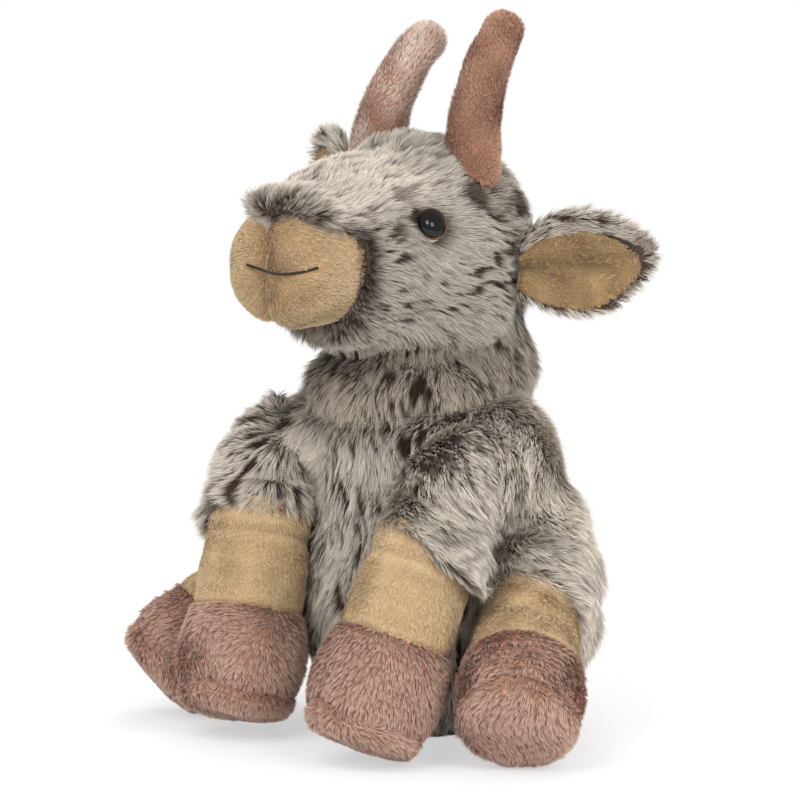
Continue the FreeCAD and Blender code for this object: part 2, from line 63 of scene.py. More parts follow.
# %% [markdown]
# ## Reading the frame
# Every piece is shaped in a frame of its own: Z runs along the piece, from its pivot to its far end, and
# Y points to its front or crown. Those frames come from the joints' pivots and from the middles of the
# CAD nodes, so a changed CAD model moves the dressing with it.

# %% Points, middles and outlines of CAD nodes


def points_of(obj):
    """All the points of a mesh as rows."""
    flat = np.empty(len(obj.data.vertices) * 3, np.float32)
    obj.data.vertices.foreach_get("co", flat)
    return flat.reshape(-1, 3).astype(float)


def triangles_of(obj):
    """The mesh's triangles as rows of point numbers."""
    obj.data.calc_loop_triangles()
    flat = np.empty(len(obj.data.loop_triangles) * 3, np.int32)
    obj.data.loop_triangles.foreach_get("vertices", flat)
    return flat.reshape(-1, 3)


def middle(node):
    """The middle of a CAD node's surface, each triangle counted by its area."""
    corners = points_of(frame["nodes"][node])[triangles_of(frame["nodes"][node])]
    area = np.linalg.norm(np.cross(corners[:, 1] - corners[:, 0], corners[:, 2] - corners[:, 0]), axis=1)
    return Vector((corners.mean(axis=1) * area[:, None]).sum(axis=0) / area.sum())


def joint_named(name):
    """The frame's entry of a joint."""
    return [joint for joint in frame["joints"] if joint["name"] == name][0]


def pivot(name):
    """The point that a joint turns about."""
    return Vector(joint_named(name)["pos_m"])


def frame_at(origin, along, across):
    """A frame with Z along the piece and X as near as it can be to the across direction."""
    z = along.normalized()
    x = (across - z * across.dot(z)).normalized()
    place = Matrix((x, z.cross(x), z)).transposed().to_4x4()
    place.translation = origin
    return place


def into(place, points):
    """World points in a piece's own frame."""
    inverse = np.array(place.inverted())
    return points @ inverse[:3, :3].T + inverse[:3, 3]


def out_of(place, points):
    """Points of a piece's own frame in the world."""
    matrix = np.array(place)
    return points @ matrix[:3, :3].T + matrix[:3, 3]


def outline_of(node, place, step=0.5 * MM):
    """Heights and outer radii of a turned CAD node, read from its points in its own frame."""
    local = into(place, points_of(frame["nodes"][node]))
    height = np.round(local[:, 2] / step) * step
    radius = np.hypot(local[:, 0], local[:, 1])
    heights = np.unique(height)
    return heights, np.array([radius[height == level].max() for level in heights])


UP = Vector((0, 0, 1))
SIDES = {"left": 1, "right": -1}
head_place = frame_at(pivot("head_nod"), middle("muzzle_stuffing") - pivot("head_nod"),
                      middle("left_eye_pupil") - middle("right_eye_pupil"))
tail_place = frame_at(pivot("tail_bend"), middle("tail_skin") - pivot("tail_bend"), Vector((1, 0, 0)))
neck_place = Matrix.Translation(pivot("neck_turn"))
leg_places = {}
ear_places = {}
for side, sign in SIDES.items():
    for end, joint in (("front", "shoulder_swing"), ("hind", "hip_splay")):
        root = pivot(f"{side}_{joint}")
        along = middle(f"{side}_{end}_sole") - root
        leg_places[side, end] = frame_at(root, along, UP.cross(along))
    root = pivot(f"{side}_ear_bend")
    seam = Vector(joint_named(f"{side}_ear_bend")["axis"]) * sign
    ear_places[side] = frame_at(root, seam, middle(f"{side}_ear_lining") - root)
print("legs point along", {key: [round(c, 2) for c in m.col[2][:3]] for key, m in leg_places.items()})

# %% [markdown]
# ## Floor, light and camera
# A soft toy shows best in a light tent: one large soft lamp high in front, a weaker one at its left side,
# a third behind, and bright surroundings. Two small lamps at its left stand for windows, and only they
# are mirrored in the eyes. The floor is a pale sheet. It shows itself a little brighter to the camera
# than its paint alone would be, so that it runs into the white surroundings and still takes the toy's
# soft shadow.

# %% Colours and a small node helper


def linear(code):
    """A hex sRGB colour as the linear values that shaders use."""
    parts = [int(code[n:n + 2], 16) / 255 for n in (1, 3, 5)]
    return tuple(p / 12.92 if p <= 0.04045 else ((p + 0.055) / 1.055) ** 2.4 for p in parts) + (1.0,)


def add_node(tree, kind, settings=None, **links):
    """Adds a node; settings are its properties, and links its inputs: values or other nodes' outputs.

    An input is named with _ for a blank, or by its number, as in _0.
    """
    node = tree.nodes.new(kind)
    for name, value in (settings or {}).items():
        setattr(node, name, value)
    for name, value in links.items():
        socket = node.inputs[int(name[1:])] if name[1:].isdigit() else node.inputs[name.replace("_", " ")]
        if isinstance(value, bpy.types.NodeSocket):
            tree.links.new(value, socket)
        else:
            socket.default_value = value
    return node


def new_material(name):
    """A material with an empty node tree."""
    material = bpy.data.materials.new(name)
    material.use_nodes = True
    material.node_tree.nodes.clear()
    return material, material.node_tree


# %% Floor and surroundings
bpy.ops.mesh.primitive_plane_add(size=6, location=(0, 0, 0))
floor = bpy.context.object
floor.name = "studio_floor"
paper, tree = new_material("matt_paper")
sheet_shader = add_node(tree, "ShaderNodeBsdfDiffuse", Color=linear("#f4f4f3"))
glow = add_node(tree, "ShaderNodeEmission", Color=(1, 1, 1, 1), Strength=1.0)
ray = add_node(tree, "ShaderNodeLightPath")
far = add_node(tree, "ShaderNodeVectorMath", {"operation": "LENGTH"},
               _0=add_node(tree, "ShaderNodeTexCoord").outputs["Object"])
fade = add_node(tree, "ShaderNodeMapRange", Value=far.outputs["Value"], From_Min=0.1, From_Max=0.5,
                To_Min=0.55, To_Max=1.0)
share = add_node(tree, "ShaderNodeMath", {"operation": "MULTIPLY"}, _0=ray.outputs["Is Camera Ray"],
                 _1=fade.outputs[0])
mixed = add_node(tree, "ShaderNodeMixShader", _0=share.outputs[0], _1=sheet_shader.outputs[0],
                 _2=glow.outputs[0])
add_node(tree, "ShaderNodeOutputMaterial", Surface=mixed.outputs[0])
floor.data.materials.append(paper)

world = bpy.data.worlds.new("light_tent")
bpy.context.scene.world = world
world.use_nodes = True
world.node_tree.nodes.clear()
ray = add_node(world.node_tree, "ShaderNodeLightPath")
tent = add_node(world.node_tree, "ShaderNodeBackground", Color=(1, 1, 1, 1), Strength=0.70)
white = add_node(world.node_tree, "ShaderNodeBackground", Color=(1, 1, 1, 1), Strength=1.0)
both = add_node(world.node_tree, "ShaderNodeMixShader", _0=ray.outputs["Is Camera Ray"], _1=tent.outputs[0],
                _2=white.outputs[0])
add_node(world.node_tree, "ShaderNodeOutputWorld", Surface=both.outputs[0])


# %% Lamps and camera
def direction(azimuth, elevation):
    """From the toy towards a camera or lamp; azimuth 0 is in front of it, and 90 on its left."""
    a, e = math.radians(azimuth), math.radians(elevation)
    return Vector((math.sin(a) * math.cos(e), -math.cos(a) * math.cos(e), math.sin(e)))


def softbox(name, azimuth, elevation, distance, size, power):
    """A square lamp that looks at the toy; only the windows are mirrored in its eyes."""
    lamp = bpy.data.lights.new(name, "AREA")
    lamp.size = size
    lamp.energy = power
    holder = bpy.data.objects.new(name, lamp)
    bpy.context.scene.collection.objects.link(holder)
    holder.location = look_at + direction(azimuth, elevation) * distance
    holder.rotation_euler = direction(azimuth, elevation).to_track_quat("Z", "Y").to_euler()
    holder.visible_glossy = name.startswith("window")
    return holder


look_at = Vector((0, 0, 0.105))
CAMERA_AZIMUTH, CAMERA_ELEVATION, CAMERA_DISTANCE = 40.06, 4.85, 0.999
CAMERA_SHIFT = (-0.0168, -0.0098)
LENS_LENGTH, SENSOR_WIDTH = 145, 36
# Each lamp: azimuth and elevation in degrees, distance and size in metres, and power in watts.
LAMPS = {
    "key_softbox": (5, 42, 1.3, 0.9, 9),
    "fill_softbox": (72, 20, 1.5, 1.1, 7.5),
    "window_left": (62, 30, 1.2, 0.30, 2.2),
    "window_right": (86, 22, 1.2, 0.26, 1.2),
    "back_softbox": (200, 55, 1.4, 0.8, 6),
}
for name, settings in LAMPS.items():
    softbox(name, *settings)
camera = bpy.data.cameras.new("camera")
camera.lens = LENS_LENGTH
camera.sensor_width = SENSOR_WIDTH
camera.shift_x, camera.shift_y = CAMERA_SHIFT
eye_point = bpy.data.objects.new("camera", camera)
bpy.context.scene.collection.objects.link(eye_point)
eye_point.location = look_at + direction(CAMERA_AZIMUTH, CAMERA_ELEVATION) * CAMERA_DISTANCE
eye_point.rotation_euler = direction(CAMERA_AZIMUTH, CAMERA_ELEVATION).to_track_quat("Z", "Y").to_euler()
bpy.context.scene.camera = eye_point
bpy.context.scene.view_settings.view_transform = "Standard"
print("camera at", [round(c, 3) for c in eye_point.location])

# %% [markdown]
# ## Cloth and pile materials
# Faux fur and velboa are polyester pile knitted into a backing. The fibres are dull with a faint gloss
# along their length, so they are rough, with low specular and a little sheen. Their colour is kept as an
# attribute on the fibres themselves: frosted fur is dyed dark at the root and pale at the tip, and no
# pattern on the cloth could follow each fibre. The backing below is a plain knit with a fine bump, a
# stitch every 0.8 mm.

# %% Materials
PILE_COLOUR = "pile_colour"


def pile_material(name, roughness, sheen):
    """Polyester pile: each fibre carries its own colour."""
    material, tree = new_material(name)
    fibre = add_node(tree, "ShaderNodeAttribute", {"attribute_name": PILE_COLOUR})
    shader = add_node(tree, "ShaderNodeBsdfPrincipled", Base_Color=fibre.outputs["Color"],
                      Roughness=roughness, Sheen_Weight=sheen, Sheen_Roughness=0.5)
    shader.inputs["Specular IOR Level"].default_value = 0.25
    add_node(tree, "ShaderNodeOutputMaterial", Surface=shader.outputs[0])
    return material


def backing_material(name, low, high, stitch=0.8):
    """Knitted backing in two shades, with a bump of one stitch in millimetres."""
    material, tree = new_material(name)
    place = add_node(tree, "ShaderNodeTexCoord").outputs["Object"]
    mottle = add_node(tree, "ShaderNodeTexNoise", Vector=place, Scale=1 / (6 * MM), Detail=3.0)
    colour = add_node(tree, "ShaderNodeMix", {"data_type": "RGBA"}, _0=mottle.outputs[0],
                      _6=linear(low), _7=linear(high))
    stitches = add_node(tree, "ShaderNodeTexVoronoi", Vector=place, Scale=1 / (stitch * MM))
    relief = add_node(tree, "ShaderNodeBump", Height=stitches.outputs[0], Strength=0.6, Distance=0.3 * MM)
    shader = add_node(tree, "ShaderNodeBsdfPrincipled", Base_Color=colour.outputs[2],
                      Normal=relief.outputs[0], Roughness=0.9, Sheen_Weight=0.1)
    add_node(tree, "ShaderNodeOutputMaterial", Surface=shader.outputs[0])
    return material


def moulded_material(name, low, high, roughness, coat=0.0, grain=0.6, shine=0.5):
    """Moulded plastic: even colour, broken up a little, and a slight unevenness under the gloss."""
    material, tree = new_material(name)
    place = add_node(tree, "ShaderNodeTexCoord").outputs["Object"]
    cloud = add_node(tree, "ShaderNodeTexNoise", Vector=place, Scale=1 / (grain * MM), Detail=2.0)
    colour = add_node(tree, "ShaderNodeMix", {"data_type": "RGBA"}, _0=cloud.outputs[0],
                      _6=linear(low), _7=linear(high))
    relief = add_node(tree, "ShaderNodeBump", Height=cloud.outputs[0], Strength=0.05, Distance=0.02 * MM)
    shader = add_node(tree, "ShaderNodeBsdfPrincipled", Base_Color=colour.outputs[2],
                      Normal=relief.outputs[0], Roughness=roughness, Coat_Weight=coat, Coat_Roughness=0.03,
                      Specular_IOR_Level=shine)
    add_node(tree, "ShaderNodeOutputMaterial", Surface=shader.outputs[0])
    return material


# %% The finishes of this toy
# Long polyester pile is dull, so the fur looks soft and dry. Short velboa has a rim of sheen.
fur_pile = pile_material("frosted_polyester_pile", 0.8, 0.04)
velboa_pile = pile_material("velboa_polyester_pile", 0.75, 0.2)
# Knitted backings are seen only between the fibres, as a ground a little darker than the pile over them.
fur_backing = backing_material("fur_knit_backing", "#43352d", "#5d4c40")
tan_backing = backing_material("tan_velboa_backing", "#ab8f68", "#b99d75")
muzzle_backing = backing_material("muzzle_velboa_backing", "#94754d", "#a18259")
brown_backing = backing_material("brown_velboa_backing", "#90634d", "#a1745e")
# Filling is a loose, matt white wool of fibres, and cotton lawn a fine weave. Both are inside.
filling = backing_material("polyester_filling", "#e6e4e0", "#f2f1ee", 2.5)
cotton = backing_material("cotton_lawn", "#ddd7c9", "#e8e3d8", 0.4)
# Stitching thread is twisted and matt, nearly black against the tan pile.
thread = backing_material("brown_stitching_thread", "#1d1410", "#2a1e18", 0.3)
# Polished acrylic is smooth enough to mirror the windows as points of light, and the amber ring is duller.
black_plastic = moulded_material("black_polished_acrylic", "#030303", "#050404", 0.05, shine=0.35)
amber_plastic = moulded_material("amber_acrylic", "#5a3312", "#7a4a1c", 0.15, 0.5, 0.3)
# Moulded nylon washers and plastic beads are half matt and milky. They too are inside.
white_plastic = moulded_material("white_moulded_nylon", "#dcdad4", "#e6e4df", 0.45)
bead_plastic = moulded_material("milky_plastic_beads", "#cfccc4", "#efeeea", 0.4, 0.0, 2.5)

for node, obj in frame["nodes"].items():
    if "washer" in node:
        inside = white_plastic
    elif node == "seat_beads":
        inside = bead_plastic
    elif node == "bead_bag":
        inside = cotton
    else:
        inside = filling
    obj.data.materials.clear()
    obj.data.materials.append(inside)
print(len(bpy.data.materials), "materials")

# %% [markdown]
# ## Skins: the cloth under the pile
# Most of the toy's panels close into round, stuffed forms. A circle is extruded ring by ring along its
# piece's own Z, as a maker would turn it, then moved into place with its points, so the finished object
# stands at the origin. A skin lies a little inside the CAD solid, because the pile stands on it and the
# CAD solid is as big as the cloth with its pile pressed down.

# %% A turned skin


def in_fixed_order(skin, rings, sides):
    """Numbers the points and faces of a turned skin ring by ring.

    Edit mode numbers them differently from run to run, and pile is planted by the number of a triangle.
    """
    points = points_of(skin)
    heights, radii = np.array(rings).T
    reach = np.hypot(points[:, 0], points[:, 1])
    ring = np.hypot(points[:, 2:] - heights, reach[:, None] - radii).argmin(axis=1)
    turn = np.round(np.arctan2(points[:, 1], points[:, 0]) * sides / (2 * math.pi)).astype(int) % sides
    order = np.lexsort((turn, ring))
    number = np.argsort(order)
    ring, angle = ring[order], turn[order] * 2 * math.pi / sides
    exact = np.stack([radii[ring] * np.cos(angle), radii[ring] * np.sin(angle), heights[ring]], axis=1)
    faces = []
    for face in skin.data.polygons:
        corners = [int(number[corner]) for corner in face.vertices]
        first = corners.index(min(corners))
        faces.append(corners[first:] + corners[:first])
    mesh = bpy.data.meshes.new(skin.name)
    mesh.from_pydata(exact.tolist(), [], sorted(faces))
    unsorted = skin.data
    skin.data = mesh
    bpy.data.meshes.remove(unsorted)
    mesh.name = skin.name


def turned_skin(name, rings, place, backing, sides=96):
    """A closed skin through rings of (height, radius) in the piece's own frame."""
    bpy.ops.object.select_all(action="DESELECT")
    height, radius = rings[0]
    bpy.ops.mesh.primitive_circle_add(vertices=sides, radius=radius, location=(0, 0, height),
                                      fill_type="NGON")
    skin = bpy.context.object
    skin.name = skin.data.name = name
    bpy.ops.object.transform_apply(location=True)
    bpy.ops.object.mode_set(mode="EDIT")
    for next_height, next_radius in rings[1:]:
        bpy.ops.mesh.extrude_region_move(TRANSFORM_OT_translate={"value": (0, 0, next_height - height)})
        grow = next_radius / radius
        bpy.ops.transform.resize(value=(grow, grow, 1))
        height, radius = next_height, next_radius
    bpy.ops.mesh.select_all(action="SELECT")
    bpy.ops.mesh.remove_doubles(threshold=0.01 * MM)
    bpy.ops.mesh.normals_make_consistent(inside=False)
    bpy.ops.object.mode_set(mode="OBJECT")
    in_fixed_order(skin, rings, sides)
    skin.data.transform(place)
    for face in skin.data.polygons:
        face.use_smooth = True
    skin.data.materials.append(backing)
    return skin


def reshape(skin, place, move):
    """Moves the points of a skin by a function of their places in the piece's own frame."""
    moved = out_of(place, move(into(place, points_of(skin))))
    skin.data.vertices.foreach_set("co", moved.astype(np.float32).ravel())
    skin.data.update()


def apply_modifier(obj, kind, **settings):
    """Adds a modifier with its settings and applies it at once."""
    bpy.ops.object.select_all(action="DESELECT")
    bpy.context.view_layer.objects.active = obj
    obj.select_set(True)
    modifier = obj.modifiers.new(kind.title(), kind)
    for name, value in settings.items():
        setattr(modifier, name, value)
    bpy.ops.object.modifier_apply(modifier=modifier.name)


def wrinkle(skin, height, size, seed):
    """Soft dents of stuffed cloth, by a cloud texture."""
    cloud = bpy.data.textures.new(f"{skin.name}_dents", "CLOUDS")
    cloud.noise_scale = size * MM
    cloud.noise_depth = 1
    shift = bpy.data.objects.new("shift", None)
    bpy.context.scene.collection.objects.link(shift)
    shift.location = (seed * 0.37, seed * 0.11, 0)
    bpy.context.view_layer.update()
    apply_modifier(skin, "DISPLACE", texture=cloud, strength=height * MM, mid_level=0.5,
                   texture_coords="OBJECT", texture_coords_object=shift)
    bpy.data.objects.remove(shift)


def smooth_step(low, high, value):
    """0 below low and 1 above high, with a soft rise between."""
    t = np.clip((value - low) / (high - low), 0, 1)
    return t * t * (3 - 2 * t)


# %% [markdown]
# ## Pile: fibres as real blades
# A bump or a texture can't give fur its ragged outline, and particle hair isn't part of the object's own
# mesh. So each lock of pile is a thin, tapered blade of a few triangles, planted at a random place on its
# skin, leaning the way the cloth was brushed. NumPy makes all blades of a panel at once. Three things make
# it
# look like the real cloth: neighbouring blades lean together towards the tip of their tuft, dashes of dark
# undercolour show where tufts part, and the brushing direction wanders. A blade is drawn about as wide as a
# few real fibres together, since single fibres are too fine to show.

# %% Smooth random fields


def wander(points, size, seed):
    """A smooth random field between about -1 and 1 that changes over the given size in metres."""
    rng = np.random.default_rng(seed)
    total = np.zeros(len(points))
    for _ in range(7):
        wave = rng.normal(size=3)
        wave *= rng.uniform(0.7, 1.4) / np.linalg.norm(wave)
        total += np.sin(points @ wave * (2 * math.pi / (2.2 * size)) + rng.uniform(0, 6.3))
    return total / 2.6


def patches(along, around, seed, cells=256):
    """Random patches between 0 and 1 on two coordinates that are given in patch sizes."""
    table = np.random.default_rng(seed).random((cells, cells))
    row, column = np.floor(along).astype(int), np.floor(around).astype(int)
    u, v = along - row, around - column
    u, v = u * u * (3 - 2 * u), v * v * (3 - 2 * v)
    this_row, next_row, this_column, next_column = (n % cells for n in (row, row + 1, column, column + 1))
    near = table[this_row, this_column] * (1 - v) + table[this_row, next_column] * v
    far = table[next_row, this_column] * (1 - v) + table[next_row, next_column] * v
    return near * (1 - u) + far * u


# %% Where the other pieces are, so that no fibre pokes into them
leg_forms = []
for key, place in leg_places.items():
    parts = [outline_of(f"{key[0]}_{key[1]}_{part}", place) for part in ("cuff", "hoof", "sole")]
    heights = np.concatenate([part[0] for part in parts])
    radii = np.concatenate([part[1] for part in parts])
    order = np.argsort(heights)
    leg_forms.append((key, place, heights[order], radii[order]))


def inside_leg(points, margin, skip=None):
    """Which points are inside a cuff or hoof."""
    found = np.zeros(len(points), bool)
    for key, place, heights, radii in leg_forms:
        if key == skip:
            continue
        local = into(place, points)
        reach = np.interp(local[:, 2], heights, radii) + margin
        found |= ((local[:, 2] > heights[0]) & (local[:, 2] < heights[-1])
                  & (np.hypot(local[:, 0], local[:, 1]) < reach))
    return found


def tree_of(skin):
    """A search tree of a skin's faces."""
    return BVHTree.FromPolygons([tuple(point) for point in points_of(skin)],
                                [tuple(face.vertices) for face in skin.data.polygons])


def height_over(points, trees):
    """How far outside the skins the points lie, in metres; below 0 inside one of them."""
    height = np.full(len(points), 1.0)
    for tree in trees:
        for n, point in enumerate(points):
            place, normal, _, _ = tree.find_nearest(point)
            height[n] = min(height[n], (Vector(point) - place).dot(normal))
    return height


# %% Places for the blades


def scatter(skin, per_mm2, rng):
    """Random places on a skin with their normals, about so many per square millimetre."""
    points, corners = points_of(skin), triangles_of(skin)
    flat = np.empty(len(points) * 3, np.float32)
    skin.data.vertices.foreach_get("normal", flat)
    normals = flat.reshape(-1, 3).astype(float)
    a, b, c = (points[corners[:, n]] for n in range(3))
    area = np.linalg.norm(np.cross(b - a, c - a), axis=1) / 2
    count = int(area.sum() / MM ** 2 * per_mm2)
    chosen = rng.choice(len(area), count, p=area / area.sum())
    u, v = rng.random(count), rng.random(count)
    flip = u + v > 1
    u[flip], v[flip] = 1 - u[flip], 1 - v[flip]
    weights = np.stack([1 - u - v, u, v], axis=1)[:, :, None]
    normal = (normals[corners[chosen]] * weights).sum(axis=1)
    return (points[corners[chosen]] * weights).sum(axis=1), unit(normal)


def unit(rows):
    """Rows scaled to length 1."""
    return rows / np.maximum(np.linalg.norm(rows, axis=-1, keepdims=True), 1e-12)


# %% The shape of the blades
ROOT_DEPTH = 0.2 * MM
LEAN_CHANGE, LEAN_SIZE = 0.25, 5 * MM
MAX_STRETCH = 1.6


def brushed_lay(root, normal, local, turn, kind, comb, seed, rng):
    """The direction in which each blade lies along the cloth, and the direction across it."""
    lay = np.tile((0.0, 0.0, 1.0), (len(root), 1)) if comb is None else comb(local)
    lay = unit(lay) @ turn.T
    lay = unit(lay - normal * (lay * normal).sum(axis=1, keepdims=True) + 1e-6)
    cross = np.cross(normal, lay)
    swing = kind["wander"] * wander(root, kind["wander_size"] * MM, seed + 1)
    swing = np.radians(swing + rng.normal(0, kind["jitter"], len(root)))[:, None]
    return lay * np.cos(swing) + cross * np.sin(swing), cross * np.cos(swing) - lay * np.sin(swing)


def blade_spines(root, normal, local, lay, length, levels, kind, lift, seed):
    """The points along each blade, from its root in the backing to its tip."""
    steep, flat = (math.radians(angle) for angle in kind["lean"])
    spine = [root - normal * ROOT_DEPTH]
    for before, after in zip(levels[:-1], levels[1:]):
        angle = steep + (flat - steep) * (before + after) / 2
        angle = angle * (1 + LEAN_CHANGE * wander(root, LEAN_SIZE, seed + 2))[:, None]
        if lift is not None:
            angle = angle + np.radians(lift(local))[:, None]
        step = (length * (after - before))[:, None]
        spine.append(spine[-1] + (lay * np.cos(angle) + normal * np.sin(angle)) * step)
    return np.stack(spine, axis=1)


def gather_tufts(spine, root, length, levels, kind, rng):
    """Pulls the blades of a tuft together towards one leader's tip, and gives each tuft a tone."""
    if not kind["tuft"]:
        return spine, np.ones(len(root))
    tuft_count = max(1, int(len(root) / (kind["per_mm2"] * kind["tuft"] ** 2)))
    heads = rng.choice(len(root), tuft_count, replace=False)
    tree = KDTree(len(heads))
    for number, head in enumerate(heads):
        tree.insert(root[head], number)
    tree.balance()
    leader = heads[[tree.find(point)[1] for point in root]]
    pull = (levels ** 1.5 * kind["gather"])[None, :, None]
    reach = spine[leader] * pull + spine * (1 - pull)
    stretch = np.linalg.norm(reach[:, -1] - root, axis=1) / np.maximum(length, 1e-9)
    reach[stretch > MAX_STRETCH] = spine[stretch > MAX_STRETCH]
    return reach, rng.uniform(1 - kind["tuft_tone"], 1 + kind["tuft_tone"], len(root))[leader]


# %% The colour of the blades
DASH_SEED, BEND_SEED, BROAD_SEED = 5, 77, 78
DASH_BEND, BEND_SIZE = 1.5 * MM, 9 * MM
BROAD_CHANGE, BROAD_SIZE = 0.13, 13 * MM
DASH_SPREAD = 0.05
DASH_EDGE = (-0.08, 0.04)


def dark_dashes(spine, root, flow, kind, rng):
    """Where undercolour shows on the blades, from 0 to 1, in dashes that run along Z of flow."""
    dash = np.zeros(spine.shape[:2])
    if not kind["dash"]:
        return dash
    long, wide, dark_share = kind["dash"]
    middle_radius = np.hypot(*into(flow, root)[:, :2].T).mean()
    loose = rng.normal(0, DASH_SPREAD, len(root))
    for n in range(spine.shape[1]):
        here = into(flow, spine[:, n])
        round_piece = np.arctan2(here[:, 1], here[:, 0]) * middle_radius
        bend = DASH_BEND * wander(here, BEND_SIZE, BEND_SEED)
        field = patches(here[:, 2] / (long * MM), (round_piece + bend) / (wide * MM), DASH_SEED)
        broad = BROAD_CHANGE * wander(here, BROAD_SIZE, BROAD_SEED) + loose
        edge = [1 - dark_share + step for step in DASH_EDGE]
        dash[:, n] = smooth_step(*edge, field + broad)
    return dash


def blade_colours(spine, local, dash, levels, tuft_tone, kind, pale, seed, rng):
    """A colour for each point of the blades: root, middle and tip, toned by tuft, place and dash."""
    count = len(spine)
    low, mid, high = (np.array(linear(kind[part + "_colour"])[:3]) for part in ("root", "mid", "tip"))
    tone = tuft_tone * rng.uniform(1 - kind["tone"], 1 + kind["tone"], count)
    tone *= 1 + kind["cloud"] * wander(spine[:, 0], kind["cloud_size"] * MM, seed + 3)
    if pale is not None:
        tone *= pale(local)
    if kind["rib"]:
        tone *= 1 + kind["rib_tone"] * np.sin(local[:, 2] / (kind["rib"] * MM) * 2 * math.pi
                                              + 2.5 * wander(local, 3 * MM, seed + 4))
    mix = smooth_step(0.05, kind["frost"], levels)[None, :, None]
    base = low * (1 - mix) + mid * mix
    rise = smooth_step(kind["frost"], 1, levels)[None, :, None]
    base = base * (1 - rise) + high * rise
    colour = np.repeat(base, count, axis=0) * tone[:, None, None]
    dark = dash[:, :, None] * kind["dash_depth"]
    colour = colour * (1 - dark) + low * dark
    return np.concatenate([np.repeat(colour[:, :-1], 2, axis=1), colour[:, -1:]], axis=1)


# %% The mesh of a panel


def blades_mesh(name, points, colour, kind, body):
    """One mesh of all blades, with a colour per point and a map that gives each blade a cell of its own."""
    count, per_blade = points.shape[:2]
    quads = per_blade // 2 - 1
    faces = [(2 * n, 2 * n + 1, 2 * n + 3, 2 * n + 2) for n in range(quads)]
    loops = [corner for face in faces for corner in face] + [2 * quads, 2 * quads + 1, 2 * quads + 2]
    sizes = [4] * quads + [3]
    starts = np.concatenate([[0], np.cumsum(sizes)[:-1]])
    mesh = bpy.data.meshes.new(name)
    mesh.vertices.add(count * per_blade)
    mesh.vertices.foreach_set("co", points.astype(np.float32).ravel())
    mesh.loops.add(count * len(loops))
    vertex = (np.arange(count)[:, None] * per_blade + np.array(loops)[None, :]).astype(np.int32)
    mesh.loops.foreach_set("vertex_index", vertex.ravel())
    mesh.polygons.add(count * len(sizes))
    start = (np.arange(count)[:, None] * len(loops) + starts[None, :]).astype(np.int32)
    mesh.polygons.foreach_set("loop_start", start.ravel())
    mesh.update(calc_edges=True)
    attribute = mesh.attributes.new(PILE_COLOUR, "FLOAT_COLOR", "POINT")
    rgba = np.concatenate([np.clip(colour, 0, 1), np.ones((count, per_blade, 1))], axis=2)
    attribute.data.foreach_set("color", rgba.astype(np.float32).ravel())
    layout = mesh.uv_layers.new(name="OFBake")
    grid = math.ceil(math.sqrt(count))
    cell = np.stack([np.arange(count) % grid, np.arange(count) // grid], axis=1) / grid
    across = np.array([[0.1, 0.9][n % 2] for n in range(per_blade - 1)] + [0.5])
    along = np.array([n // 2 for n in range(per_blade)]) / (per_blade // 2) * 0.8 + 0.1
    inner = np.stack([across, along], axis=1) / grid
    places = (cell[:, None, :] + inner[None, :, :])[:, np.array(loops)]
    layout.uv.foreach_set("vector", places.astype(np.float32).ravel())
    pile = bpy.data.objects.new(name, mesh)
    bpy.context.scene.collection.objects.link(pile)
    mesh.materials.append(kind["material"])
    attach(pile, body)
    print(name, count, "blades,", count * (2 * quads + 1), "triangles")
    return pile


# %% Planting one panel
FLOOR_CLEAR = 0.3 * MM
LEG_CLEAR = 0.5 * MM
FACING_LEAST = 0.05
BLADE_TAPER = 0.85


